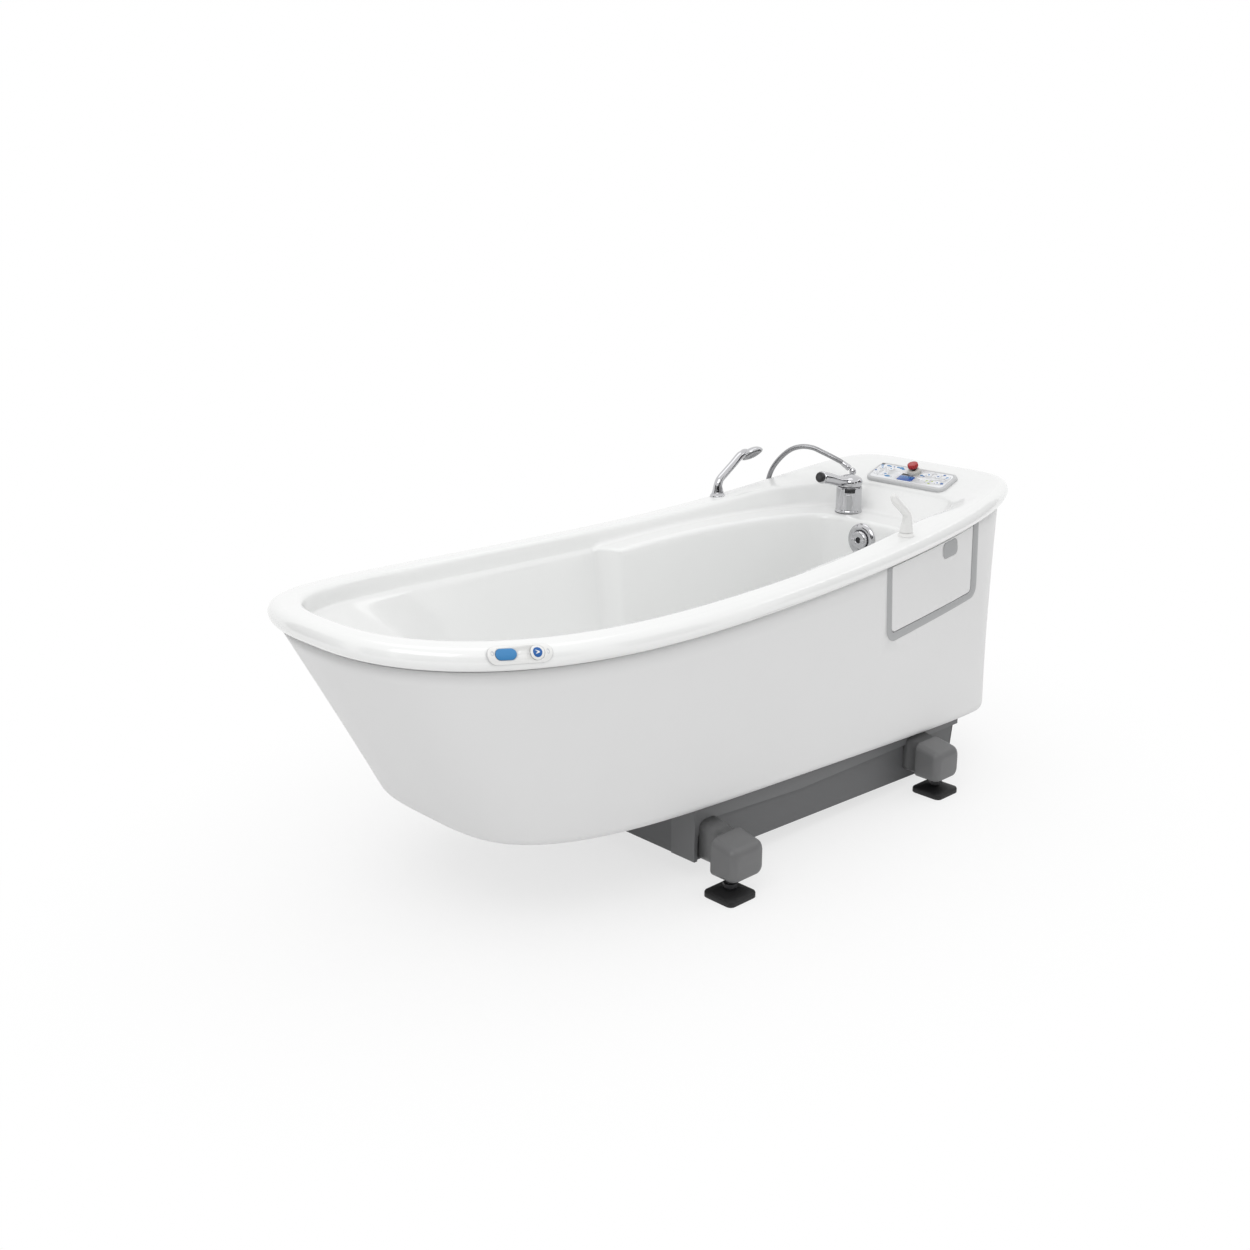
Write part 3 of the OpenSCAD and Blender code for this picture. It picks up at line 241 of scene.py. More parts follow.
# Quads between n loops of m points; ends adds a fan to two last points, around joins last and first loop
def loopFaces(n, m, ends=False, around=False):
    faces = []
    for i in range(n if around else n - 1):
        after = (i + 1) % n * m
        faces += [(i * m + k, i * m + (k + 1) % m, after + (k + 1) % m, after + k) for k in range(m)]
    if ends:
        for k in range(m):
            j = (k + 1) % m
            faces.append((n * m, j, k))
            faces.append((n * m + 1, (n - 1) * m + k, (n - 1) * m + j))
    return faces


# Loops closed by two tips, or by each other where there are none
def ringsObject(name, rings, tips, body, slotName, tone=None, node=None):
    faces = loopFaces(len(rings), len(rings[0]), bool(tips), not tips)
    return addMesh(name, [p for r in rings for p in r] + list(tips), faces, body, slotName, tone, node)


# Loops with a flat face at both ends
def barObject(name, rings, body, slotName, tone=None, node=None, smooth=False):
    n, m = len(rings), len(rings[0])
    faces = loopFaces(n, m) + [tuple(range(m)), tuple(range((n - 1) * m, n * m))]
    return addMesh(name, [p for r in rings for p in r], faces, body, slotName, tone, node, smooth)


# The line with its corners turned into curves; cuts says how far each is cut back
def roundedLine(points, cuts, steps):
    out = [points[0]]
    for i in range(1, len(points) - 1):
        p = points[i]
        q0, q1 = [p + (e - p) * (min(cuts[i], (e - p).length * 0.48) / max((e - p).length, 1e-6))
                  for e in (points[i - 1], points[i + 1])]
        for k in range(steps + 1):
            t = k / steps
            out.append(q0 * (1 - t) ** 2 + p * (2 * t * (1 - t)) + q1 * t * t)
    out.append(points[-1])
    return out


# Catmull-Rom through the points
def smoothLine(points, perStep):
    pts = [Vector(p) for p in points]
    out = []
    for i in range(len(pts) - 1):
        a, b, c, d = pts[max(i - 1, 0)], pts[i], pts[i + 1], pts[min(i + 2, len(pts) - 1)]
        for k in range(perStep):
            t = k / perStep
            out.append(0.5 * (2 * b + (c - a) * t + (2 * a - 5 * b + 4 * c - d) * t * t
                              + (3 * b - a - 3 * c + d) * t ** 3))
    out.append(pts[-1])
    return out


# Loops round a line; each one's sides turn as little as possible from the last one's
def tubeRings(points, radii, seg, up=(0, 1, 0), squash=None):
    rings, side = [], Vector(up)
    for i, p in enumerate(points):
        d = (points[min(i + 1, len(points) - 1)] - points[max(i - 1, 0)]).normalized()
        side = (side - d * side.dot(d)).normalized()
        across = d.cross(side)
        su, sv = squash[i] if squash else (1, 1)
        rings.append([p + side * (cos(w) * radii[i] * su) + across * (sin(w) * radii[i] * sv)
                      for w in fullTurn(seg)])
    return rings


# A turned piece, from its lower middle to its upper one: radius, height and, between the ends, corner cut
def lathe(name, points, place, body, slotName, tone=None, node=None, steps=4, seg=48, ribs=0,
          ribDepth=0.0, ribSpan=(0, 0)):
    cuts = [0] + [p[2] for p in points[1:-1]] + [0]
    profile = roundedLine([Vector((*p[:2], 0)) for p in points], cuts, steps)
    rings = []
    for p in profile:
        deep = ribDepth if ribSpan[0] <= p.y <= ribSpan[1] and p.x > 1 else 0.0
        ring = []
        for w in fullTurn(seg):
            q = p.x - deep * (0.5 - 0.5 * cos(ribs * w))
            ring.append(place @ Vector((q * cos(w), q * sin(w), p.y)))
        rings.append(ring)
    tips = [place @ Vector((0, 0, profile[i].y)) for i in (0, -1)]
    return ringsObject(name, rings, tips, body, slotName, tone, node)


def turned(at, x=0.0, y=0.0, z=0.0):
    return (Matrix.Translation(Vector(at)) @ Matrix.Rotation(radians(z), 4, "Z")
            @ Matrix.Rotation(radians(y), 4, "Y") @ Matrix.Rotation(radians(x), 4, "X"))


def shifted(place, x, y, z):
    return place @ Matrix.Translation(Vector((x, y, z)))


# Materials
def setInputs(node, values):
    for key, value in values.items():
        node.inputs[key].default_value = value
    return node


def addNode(tree, kind, values={}):
    return setInputs(tree.nodes.new("ShaderNode" + kind), values)


def link(tree, a, outName, b, inName):
    tree.links.new(a.outputs[outName], b.inputs[inName])


def newMaterial(name, values):
    mat = bpy.data.materials.new(name)
    mat.use_nodes = True
    return mat, mat.node_tree, setInputs(mat.node_tree.nodes["Principled BSDF"], values)


def material(name, color, rough, metallic=0.0, coat=0.0, grain=0.0, grainScale=400.0, spread=0.03,
             roughSpread=0.06, scale=7.0):
    mat, tree, bsdf = newMaterial(name, {"Metallic": metallic, "Coat Weight": coat, "Coat Roughness": 0.06})
    coord = addNode(tree, "TexCoord")
    noise = addNode(tree, "TexNoise", {"Scale": scale, "Detail": 5.0})
    link(tree, coord, "Object", noise, "Vector")
    low, high = [(*[min(1.0, c * f) for c in color], 1) for f in (1 - spread, 1 + spread)]
    blend = addNode(tree, "MixRGB", {"Color1": low, "Color2": high})
    link(tree, noise, "Fac", blend, "Fac")
    link(tree, blend, "Color", bsdf, "Base Color")
    span = addNode(tree, "MapRange", {"To Min": max(0.0, rough - roughSpread),
                                      "To Max": min(1.0, rough + roughSpread)})
    link(tree, noise, "Fac", span, "Value")
    link(tree, span, "Result", bsdf, "Roughness")
    if grain:
        fine = addNode(tree, "TexNoise", {"Scale": grainScale, "Detail": 2.0})
        link(tree, coord, "Object", fine, "Vector")
        bump = addNode(tree, "Bump", {"Strength": grain, "Distance": 0.0006})
        link(tree, fine, "Fac", bump, "Height")
        link(tree, bump, "Normal", bsdf, "Normal")
    return mat


# Each material: its slot if it has one, colour, roughness and what else differs from a plain one
paints = {
    "gelcoat": ("gelcoat_white", (0.86, 0.865, 0.86), 0.16, dict(coat=0.35, spread=0.01)),
    "apron": ("panel_white", (0.745, 0.745, 0.745), 0.42, dict(spread=0.012, grain=0.05)),
    "plinth": ("plinth_grey", (0.145, 0.147, 0.15), 0.45, dict(spread=0.03, grain=0.08)),
    # Painted shade: a darker copy of the plinth grey, for its set-back panels and its two ends
    "plinthPaintedShade": (None, (0.115, 0.117, 0.12), 0.5, dict(spread=0.03, grain=0.08)),
    "steel": ("frame_steel", (0.09, 0.095, 0.10), 0.5, dict(spread=0.06, grain=0.1)),
    "hatchGrey": ("hatch_grey", (0.40, 0.405, 0.41), 0.42, dict(spread=0.02, grain=0.1)),
    "boot": ("boot_grey", (0.145, 0.146, 0.148), 0.42, dict(spread=0.04, grain=0.15)),
    "rubber": ("black_rubber", (0.011, 0.011, 0.012), 0.62, dict(spread=0.1, grain=0.2)),
    "bright": ("bright_steel", (0.55, 0.55, 0.56), 0.26, dict(metallic=1.0, grain=0.05)),
    "chrome": ("chrome", (0.56, 0.56, 0.575), 0.07, dict(metallic=1.0, roughSpread=0.02)),
    "hoseSteel": (None, (0.32, 0.32, 0.33), 0.2, dict(metallic=1.0, grain=0.3, grainScale=900)),
    "white": ("white_plastic", (0.80, 0.80, 0.79), 0.25, dict(coat=0.2, spread=0.01)),
    "pale": ("pale_plastic", (0.50, 0.49, 0.46), 0.35, dict(spread=0.03)),
    "nozzles": (None, (0.34, 0.34, 0.35), 0.45, dict(spread=0.5, scale=520.0)),
    "film": ("key_film", (0.84, 0.85, 0.87), 0.34, dict(spread=0.01)),
    "display": ("display_blue", (0.012, 0.085, 0.36), 0.12, dict(coat=0.4, spread=0.1)),
    "red": ("stop_red", (0.40, 0.008, 0.011), 0.3, dict(coat=0.15, spread=0.08)),
    "pipe": ("pipe_grey", (0.12, 0.125, 0.13), 0.45, dict(spread=0.04)),
    "brass": ("brass", (0.62, 0.45, 0.20), 0.3, dict(metallic=1.0)),
    "blue": ("key_blue", (0.045, 0.22, 0.48), 0.35, dict(spread=0.06)),
    "darkBlue": ("key_dark_blue", (0.015, 0.11, 0.36), 0.32, dict(spread=0.06)),
    "green": (None, (0.42, 0.50, 0.12), 0.4, dict(spread=0.06)),
    "black": ("black_plastic", (0.018, 0.018, 0.02), 0.38, dict(spread=0.08)),
    "frameGrey": (None, (0.58, 0.585, 0.59), 0.34, dict(spread=0.02)),
    "faint": (None, (0.55, 0.56, 0.58), 0.4, dict(spread=0.03)),
}
nodeTones = {"panel_frame": "frameGrey", "foot_stems": "black"}
mats = {name: material(name, *paint[1:3], **paint[3]) for name, paint in paints.items()}
slotMats = {paint[0]: name for name, paint in paints.items() if paint[0]}
for entry in frame["record"]["subparts"]:
    piece = nodes.get(entry["node"])
    if piece:
        piece.data.materials.clear()
        piece.data.materials.append(mats[nodeTones.get(entry["node"], slotMats[entry["material_slot"]])])
print("materials done")

# Tub shell: fine copy of the solid, with rounded edges
tubLook = {"skin": "gelcoat", "cornerSteps": 5, "rollStep": 10,
           "cuts": [0, 25, 8, 5, 9, 16, 12, 14, 60, 70, 40, 40, 60, 200]}
tipX = 60.0


# Both faces of the shell at a station, each from the roll inwards
def tubSection(a):
    rolled = [rollRing(a, rollR, d) for d in range(-120, 91, tubLook["rollStep"])]
    line = roundedLine([rolled[-1]] + lineOf(a, 0), tubLook["cuts"], tubLook["cornerSteps"])
    back = [rollRing(a, rollR - 7, d) for d in (-120, -60, 0, 45, 90)]
    return rolled + line[1:], back + lineOf(a, shellT)


def buildTub():
    sections = [tubSection(a) for a in angles]
    rings = [[top[i] for top, back in sections] for i in range(len(sections[0][0]) - 1, -1, -1)]
    rings += [[back[i] for top, back in sections] for i in range(len(sections[0][1]))]
    tips = [Vector((tipX, 0, floorZ(tipX) - t)) for t in (0, shellT)]
    return ringsObject("tubSkin", rings, tips, "tub", "gelcoat_white", tubLook["skin"], "tub_shell")


# Applies a boolean and deletes its cutter
def cut(obj, cutter):
    mod = obj.modifiers.new("cut", "BOOLEAN")
    mod.operation = "DIFFERENCE"
    mod.solver = "MANIFOLD"
    mod.object = cutter
    dg = bpy.context.evaluated_depsgraph_get()
    new = bpy.data.meshes.new_from_object(obj.evaluated_get(dg))
    obj.modifiers.clear()
    old = obj.data
    obj.data = new
    bpy.data.meshes.remove(old)
    bpy.data.objects.remove(cutter)


def cutterOf(rings):
    return ringsObject("cutter", rings, [middle(r) for r in rings], None, "gelcoat_white")


def cylinderCutter(place, r, z0, z1, seg=64):
    return cutterOf([[place @ Vector((r * cos(w), r * sin(w), z)) for w in fullTurn(seg)]
                     for z in (z0, z1)])


tub = buildTub()
drainR = 36.0
cut(tub, cylinderCutter(turned((drainX, 0, floorZ(drainX))), drainR, -20, 20))
print("tub done")

# Apron: the skirt's ruled surface between the two outlines
apronIn, apronHalf, apronHead, apronFoot, apronZ, apronFall = 20.0, 343.0, 755.0, 1000.0, 179.0, 42.0
apronT, apronHeadN = 5.0, 3.7
# From leanFrom on, the casing's foot end leans in by lean at its lower edge
apronLook = {"skin": "apron", "leanFrom": 800.0, "lean": 92.0}


def apronEdge(x):
    return apronZ - (apronFall + 1) * x / 1000 + 2 * x * x / 1e6


def apronPt(a, t, d, up=0.0):
    px, py = planPt(a, halfL - apronIn - d, halfL - apronIn - d, headN, footN,
                    lambda x: taper(x) - apronIn - d)
    qx, qy = planPt(a, apronHead - d, apronFoot - d, apronHeadN, footN, lambda x: apronHalf - d)
    p = Vector((px, py, rollZ(px) - rollR - 1))
    q = Vector((qx, qy, apronEdge(qx)))
    out = p.lerp(q, t) + Vector((0, 0, up))
    start = apronLook["leanFrom"]
    out.x -= apronLook["lean"] * t * ease((out.x - start) / (apronFoot - start))
    return out


# How far out the skirt's side stands at a place
def sideY(x, z, d=0.0):
    top = rollZ(x) - rollR - 1
    t = (top - z) / (top - apronEdge(x))
    y0 = (taper(x) - apronIn - d) * (1 - (abs(x) / (halfL - apronIn - d)) ** footN) ** (1 / footN)
    y1 = (apronHalf - d) * (1 - (abs(x) / (apronFoot - d)) ** footN) ** (1 / footN)
    return lerp(y0, y1, t)


def buildApron():
    arcs = [(t / 10 * 0.955, 0.0, 0.0) for t in range(11)]
    arcs += [(0.966, 0.4, 0), (0.976, 1.4, 0), (0.985, 3.0, 0), (0.993, 5.2, 0), (1.0, 8.2, 0),
             (1.0, 11.0, 0.2), (1.0, 13, 2)]
    arcs += [(0.965, 9, 0), (0.94, apronT, 0), (0.5, apronT, 0), (0.0, apronT, 0)]
    rings = [[apronPt(a, t, d, up) for a in angles] for t, d, up in arcs]
    return ringsObject("apronSkin", rings, (), "tub", "panel_white", apronLook["skin"], "apron")


apron = buildApron()
print("apron done")


# Service hatch: frame, door and pull follow the skirt's side
hatchLook = {"border": "hatchGrey", "door": "apron", "pull": "hatchGrey", "proud": 0.8, "edge": 1.6,
             "pullEdge": 1.2}
hatchX0, hatchX1, hatchZ0, hatchR, hatchLean = 374.0, 786.0, 434.0, 36.0, 10.0
hatchBorder, hatchGap, doorT = 21.0, 2.0, 8.0
hatchSlope = (rollZ(hatchX1) - rollZ(hatchX0)) / (hatchX1 - hatchX0) * 0.86


# The hatch outline from its upper head corner, down, along and up, in the X-Z plane
def hatchPath(d, top, perSide=14):
    r = hatchR - d
    x0, x1, z0 = hatchX0 + d, hatchX1 - d * 1.35, hatchZ0 + d
    rise = hatchSlope * (x1 - x0)
    topL, topR = [Vector((x, 0, rollZ(x) - rollR - top)) for x in (x0 - 8, x1 + hatchLean)]
    arcL = [Vector((x0 + r - r * cos(w), 0, z0 + r - r * sin(w))) for w in quarter(10)]
    arcR = [Vector((x1 - r + r * sin(w) + hatchLean * r / 200, 0, z0 + rise + r - r * cos(w)))
            for w in quarter(10)]
    out = [topL.lerp(arcL[0], k / perSide) for k in range(perSide)] + arcL
    out += [arcL[-1].lerp(arcR[0], k / perSide) for k in range(1, perSide)] + arcR
    return out + [arcR[-1].lerp(topR, k / perSide) for k in range(1, perSide + 1)]


# A point of the X-Z plane moved onto the near side, depth in from its face
def onSide(p, depth):
    return Vector((p.x, -sideY(p.x, p.z, depth), p.z))


# Adds the line under the roll that closes a hatch outline
def closedOutline(points, top, n=22):
    xs = [lerp(points[-1].x, points[0].x, k / n) for k in range(1, n)]
    return points + [Vector((x, 0, rollZ(x) - rollR - top)) for x in xs]


# Moves a closed outline in the X-Z plane inwards by d
def inset2d(points, d):
    out = []
    n = len(points)
    for i, p in enumerate(points):
        a, b = points[i - 1], points[(i + 1) % n]
        t = (b - a).normalized()
        out.append(p + Vector((-t.z, 0, t.x)) * d)
    return out


# A plate that follows the side: rounded front edge, flat back
def sidePlate(name, outline, edge, thick, face, body, slotName, tone=None, node=None, fill=10):
    centre = middle(outline)
    loops = [(0, thick), (0, face + edge)]
    loops += [(edge * (1 - cos(w)), face + edge * (1 - sin(w))) for w in quarter(4, 1)]
    flat = inset2d(outline, edge)
    rings = [[onSide(centre + (p - centre) * k / 4, thick) for p in outline] for k in range(1, 4)]
    rings += [[onSide(p, d) for p in inset2d(outline, i)] for i, d in loops]
    rings += [[onSide(centre + (p - centre) * (1 - k / fill), face) for p in flat] for k in range(1, fill)]
    tips = [onSide(centre, thick), onSide(centre, face)]
    return ringsObject(name, rings, tips, body, slotName, tone, node)


def buildHatchFrame():
    deep, proud = 12, -hatchLook["proud"]
    side = [(0, deep), (0, 0.2), (0.03, -0.5), (0.08, proud)]
    section = side + [(0.5, proud), (0.92, proud), (0.97, -0.5), (1, 0.2), (1, deep)]
    rings = [[onSide(a.lerp(b, f), d) for f, d in section]
             for a, b in zip(hatchPath(0, 1), hatchPath(hatchBorder, 1))]
    barObject("hatchSurround", rings, "tub", "hatch_grey", hatchLook["border"], "hatch_frame", smooth=True)


buildHatchFrame()
doorIn = hatchBorder + hatchGap
doorLine = closedOutline(hatchPath(doorIn, 4), 4)
hatchDoor = sidePlate("hatchPanel", doorLine, hatchLook["edge"], doorT, 0.0, "hatch_door", "panel_white",
                      hatchLook["door"], "hatch_door")


def roundRect2d(w, h, r, per=8):
    out = []
    for cx, cz, a0 in ((w / 2 - r, h / 2 - r, 0), (-w / 2 + r, h / 2 - r, 90),
                       (-w / 2 + r, -h / 2 + r, 180), (w / 2 - r, -h / 2 + r, 270)):
        for k in range(per + 1):
            w0 = radians(a0 + 90 * k / per)
            out.append(Vector((cx + r * cos(w0), 0, cz + r * sin(w0))))
    return out


latchTurn = atan(hatchSlope)
latchX = hatchX1 - 136
latchZ = rollZ(latchX) - rollR - 28


def latchOutline(grow):
    pts = roundRect2d(68 + grow, 42 + grow, 14 + grow / 2)
    return [Vector((latchX + p.x * cos(latchTurn) - p.z * sin(latchTurn), 0,
                    latchZ + p.x * sin(latchTurn) + p.z * cos(latchTurn))) for p in pts]


def sidePrism(outline, y0=-420, y1=-200):
    return cutterOf([[Vector((p.x, y, p.z)) for p in outline] for y in (y0, y1)])


cut(hatchDoor, sidePrism(latchOutline(0)))
sidePlate("hatchPull", latchOutline(-1.2), hatchLook["pullEdge"], 4.0, -1.2, "hatch_latch", "hatch_grey",
          hatchLook["pull"], "hatch_latch", fill=5)
cut(apron, sidePrism(hatchPath(10, -3)))
print("hatch done")


# Control panel, in its own slanted frame
deckP1 = (deckX + 9, deckZ(deckX + 9, deckX, deckDip))
deckP2 = (midReach, deckZ(midReach, midReach, deckDip / 2))
panelTilt = degrees(atan2(deckP2[1] - deckP1[1], deckP2[0] - deckP1[0]))
panelD, panelW, panelH, panelR, foilT = 86.0, 262.0, 11.0, 20.0, 1.4
panelLook = {"frame": "frameGrey", "foil": "film", "ridge": "frameGrey", "tab": "boot",
             "glass": "display", "glassBars": (-11, -3, 5, 13, 21)}
panelPlace = turned((deckP1[0] - 3, 0, deckP1[1] - 2), y=-panelTilt)


def rectLoop(w, h, r, z, cx=0.0, cy=0.0, per=8):
    return [Vector((cx + p.x, cy + p.z, z)) for p in roundRect2d(w, h, r, per)]


# A piece of stacked rounded loops; with hole, its last loop joins its first
def stacked(name, place, loops, body, slotName, tone=None, node=None, hole=False):
    rings = [[place @ p for p in r] for r in loops]
    tips = () if hole else [middle(rings[0]), middle(rings[-1])]
    return ringsObject(name, rings, tips, body, slotName, tone, node)


def buildPanelFrame():
    cx = panelD / 2
    outer = [(0, -1), (0, 5.0), (0.6, 7.6), (1.8, 9.6), (3.4, 10.7), (5.0, 11.0)]
    inner = [(7.4, 10.8), (8.4, 10.2), (9.0, 9.3), (9.0, 8.9)]
    loops = [rectLoop(panelD - 2 * d, panelW - 2 * d, max(2, panelR - d), z, cx) for d, z in outer + inner]
    bottom = [rectLoop(panelD - a, panelW - b, r, z, cx)
              for a, b, r, z in ((24, 24, 9, 8.6), (24, 24, 9, -17), (21, 25, 11.5, -18), (21, 25, 11.5, -1))]
    stacked("panelSurround", panelPlace, loops + bottom, "tub", "hatch_grey", panelLook["frame"],
            "panel_frame", hole=True)


buildPanelFrame()
foilZ = panelH - foilT - 0.5


def flatPiece(name, place, w, h, r, z0, z1, body, slotName, tone=None, node=None, cx=0.0, cy=0.0, edge=0.4):
    loops = [rectLoop(w, h, r, z0, cx, cy), rectLoop(w, h, r, z1 - edge, cx, cy),
             rectLoop(w - edge * 0.6, h - edge * 0.6, r - edge * 0.3, z1 - edge * 0.3, cx, cy),
             rectLoop(w - edge * 2, h - edge * 2, max(0.2, r - edge), z1, cx, cy)]
    return stacked(name, place, loops, body, slotName, tone, node)


foilTop = foilZ + foilT
stopAt = (58, 0)
keyAt = [(30, 108), (58, 108), (30, 78), (58, 78), (60, -48), (60, -78), (60, -108), (30, -62), (30, -96)]
displayAt = (26, 6)
glassW, glassH = 24.0, 50.0
keyR, keyRise, keyPlay, stopHole = 7.5, 0.9, 0.4, 18.3
cxPanel = panelD / 2


# Prints are thin raised shapes; their outlines are in the panel's plane
def printOn(name, place, outline, z, body, slotName, tone=None, thick=0.12):
    rings = [[place @ Vector((x, y, h)) for x, y in outline] for h in (z, z + thick)]
    return barObject(name, rings, body, slotName, tone)


def oval(cx, cy, rx, ry, n=28):
    return [(cx + rx * cos(w), cy + ry * sin(w)) for w in fullTurn(n)]


def drop(cx, cy, s):
    out = [(cx + s * 1.35, cy)]
    for k in range(17):
        w = radians(38 + 284 * k / 16)
        out.append((cx + s * 0.8 * cos(w), cy + s * 0.8 * sin(w)))
    return out


def bar(cx, cy, w, h):
    return [(cx + i * w / 2, cy + j * h / 2) for i, j in ((-1, -1), (1, -1), (1, 1), (-1, 1))]


def wedge(cx, cy, s):
    return [(cx - s * 0.7, cy - s), (cx - s * 0.7, cy + s), (cx + s * 0.8, cy)]


foil = flatPiece("panelFoil", panelPlace, panelD - 18.6, panelW - 18.6, panelR - 9, foilZ, foilTop, "tub",
                 "key_film", panelLook["foil"], "panel_foil", cx=cxPanel)
for at, r, seg in [(at, keyR + keyPlay, 32) for at in keyAt] + [(stopAt, stopHole, 48)]:
    cut(foil, cylinderCutter(shifted(panelPlace, *at, foilZ), r, -1, 4, seg))
glassHole = rectLoop(glassW + 0.6, glassH + 0.6, 5, 0, *displayAt)
cut(foil, cutterOf([[panelPlace @ (p + Vector((0, 0, z))) for p in glassHole]
                    for z in (foilZ - 1, foilTop + 2)]))

# Keys, each with its own plain mark: (shape, material)
keyMarks = [("dots", "faint"), ("drop", "blue"), ("oval", "blue"), ("up", "blue"), ("drop", "blue"),
            ("dots", "darkBlue"), ("oval", "blue"), ("oval", "green"), ("up", "darkBlue")]
keyShapes = {"dots": [oval(1.6, -1.5, 1.9, 1.9), oval(-2.3, -1.5, 1.5, 2.6), oval(0, 3, 1.5, 1.5)],
             "drop": [drop(-0.6, -0.4, 3.4), oval(2.4, 4.2, 1.1, 1.1)],
             "oval": [oval(0.8, 0, 2.2, 4.6), oval(-3.2, 1.5, 1.1, 2.8)],
             "up": [wedge(0, 0, 4.0)]}
for k, at in enumerate(keyAt):
    body = "key_%d" % (k + 1)
    keyPlace = shifted(panelPlace, *at, foilZ + keyRise)
    lathe("keyCap%d" % (k + 1), [(5, -3.8), (5, 0, 0.2), (keyR, 0, 0.1), (keyR, 1.1, 0.3),
          (keyR - 0.5, 1.4, 0.3), (3, 1.4)], keyPlace, body, "key_film", node=body, seg=40, steps=3)
    shape, tone = keyMarks[k]
    for i, outline in enumerate(keyShapes[shape]):
        printOn("keyMark%d_%d" % (k + 1, i), keyPlace, outline, 1.4, body, "key_blue", tone)

# Small marks between the keys: (x, y, width, height, material)
foilMarks = [
    (69, 116, 4, 6, "blue"), (71, 96, 4, 8, "blue"), (70, 88, 3, 4, "blue"), (70, 76, 3, 4, "darkBlue"),
    (71, 63, 4, 7, "blue"), (70, 51, 6, 9, "blue"), (66, 42, 4, 6, "blue"), (41, 119, 4, 4, "darkBlue"),
    (42, 96, 4, 3, "faint"), (20, 98, 3, 3, "faint"), (22, 66, 5, 12, "blue"), (22, 53, 3, 4, "faint"),
    (52, -29, 4, 6, "blue"), (50, -37, 3, 4, "darkBlue"), (30, -36, 3, 3, "faint"), (30, -46, 3, 3, "faint"),
    (70, -62, 4, 8, "faint"), (71, -92, 4, 5, "darkBlue"), (20, -74, 3, 5, "green"), (33, -77, 3, 4, "green"),
    (42, -92, 3, 14, "faint"), (30, -110, 5, 6, "darkBlue"), (46, -110, 4, 3, "faint")]
for i, (x, y, w, h, tone) in enumerate(foilMarks):
    printOn("foilMark%d" % i, panelPlace, oval(x, y, w * 0.8, h * 0.8, 18), foilTop, "tub", "key_blue", tone)
printOn("foilRidge", panelPlace, bar(43, -22, 64, 2.4), foilTop, "tub", "hatch_grey", panelLook["ridge"],
        0.5)
printOn("foilShade", panelPlace, bar(43, 10, 8, 40), foilTop, "tub", "black_plastic", thick=0.2)
printOn("cornerTab", panelPlace, bar(76, 118, 5, 9), panelH - 0.2, "tub", "boot_grey", panelLook["tab"], 1.0)
flatPiece("displayGlass", panelPlace, glassW, glassH, 4.7, foilZ, foilTop + 0.4, "tub", "display_blue",
          panelLook["glass"], "display", *displayAt)
for i, y in enumerate(panelLook["glassBars"]):
    printOn("displayBar%d" % i, panelPlace, bar(displayAt[0] + 4.5, y, 6, 4), foilTop + 0.4, "tub",
            "key_blue", thick=0.06)

# Stop button: its guard on the foil, its head on the stem
stopLook = {"guard": "pale", "head": "red", "ribs": 12, "ribDepth": 2.6}
stopPlace = shifted(panelPlace, *stopAt, foilZ)
stemBore, guardBore, stopZ = 6.4, 9.0, 18.4
stopGuard = lathe("stopGuard", [(6.5, -15), (8.7, -15, 1), (8.7, 0.2, 0.4), (18, 0.2, 0.3), (18, 9, 3),
                  (14.5, 13, 1.4), (9.6, 13, 0.6), (9.4, 10.9, 0.3), (6.5, 10.8)], stopPlace, "tub",
                  "pale_plastic", stopLook["guard"], node="stop_collar", seg=72)
cut(stopGuard, cylinderCutter(stopPlace, stemBore, -20, 12))
cut(tub, cylinderCutter(stopPlace, guardBore, -60, 1))
lathe("stopHead", [(6.4, 0.4), (13.0, 0.1, 0.6), (14.4, 3, 2), (15, 7.2, 2.5), (14.4, 11.6, 1.2),
      (12.2, 12, 0.6), (0, 12)], shifted(stopPlace, 0, 0, stopZ), "stop_button", "stop_red",
      stopLook["head"], seg=96, node="stop_button", ribs=stopLook["ribs"], ribDepth=stopLook["ribDepth"],
      ribSpan=(0, 11.7))
print("panel done")

# Mixer
# slot: the black of the painted shade under the lever root
mixerLook = {"metal": "chrome", "tip": "black", "slot": "black"}
mixerX, mixerY, mixerZ, mixerD, mixerH = wellEnd + shelfD * 0.63, 101.0, ledgeZ(shelfEnd) - 2, 70.0, 72.0
mixerPlace = turned((mixerX, mixerY, mixerZ))
outletTurn, outletR, outletZ, elbowRise = radians(30), mixerD / 2 + 15, mixerH - 15, 47.0
lathe("mixerColumn", [(5, -60), (16.8, -60, 1), (16.8, 1.5, 0.3), (37, 1.5, 0.3), (37, 5.2, 2),
      (35.2, 8.5, 2), (35, 40, 10), (35, mixerH - 3, 3), (33, mixerH, 3), (21.8, mixerH, 1),
      (21.8, mixerH - 6, 0.3), (5, mixerH - 6)], mixerPlace, "tub", "chrome", mixerLook["metal"],
      node="mixer_body", seg=96)
outletPlace = mixerPlace @ turned((0, 0, outletZ), y=90, z=30)
lathe("mixerOutlet", [(5, 31), (11, 31, 0), (11, 40, 1), (10, 41, 1), (5, 41)], outletPlace, "tub",
      "chrome", node="mixer_body", steps=3)
handleZ = mixerH + 1.6


# A patch that lies on the mixer's column
def columnPatch(name, az, half, z0, z1, r, deep, slotName, tone=None):
    rings = []
    for k in range(17):
        w = radians(az + half * (k / 8 - 1))
        rings.append([mixerPlace @ Vector((q * cos(w), q * sin(w), z))
                      for q, z in ((r - deep, z0), (r, z0 + 0.5), (r, z1 - 0.5), (r - deep, z1))])
    barObject(name, rings, "tub", slotName, tone, smooth=True)


# Painted shade: a black patch on the column, under the lever root, stands for the shade of the gap there
columnPatch("mixerSlotShade", 222, 24, 57, 70.5, 35.25, 2, "black_plastic", mixerLook["slot"])
columnPatch("mixerLip", 222, 25, 50.5, 54, 36.2, 3, "chrome")


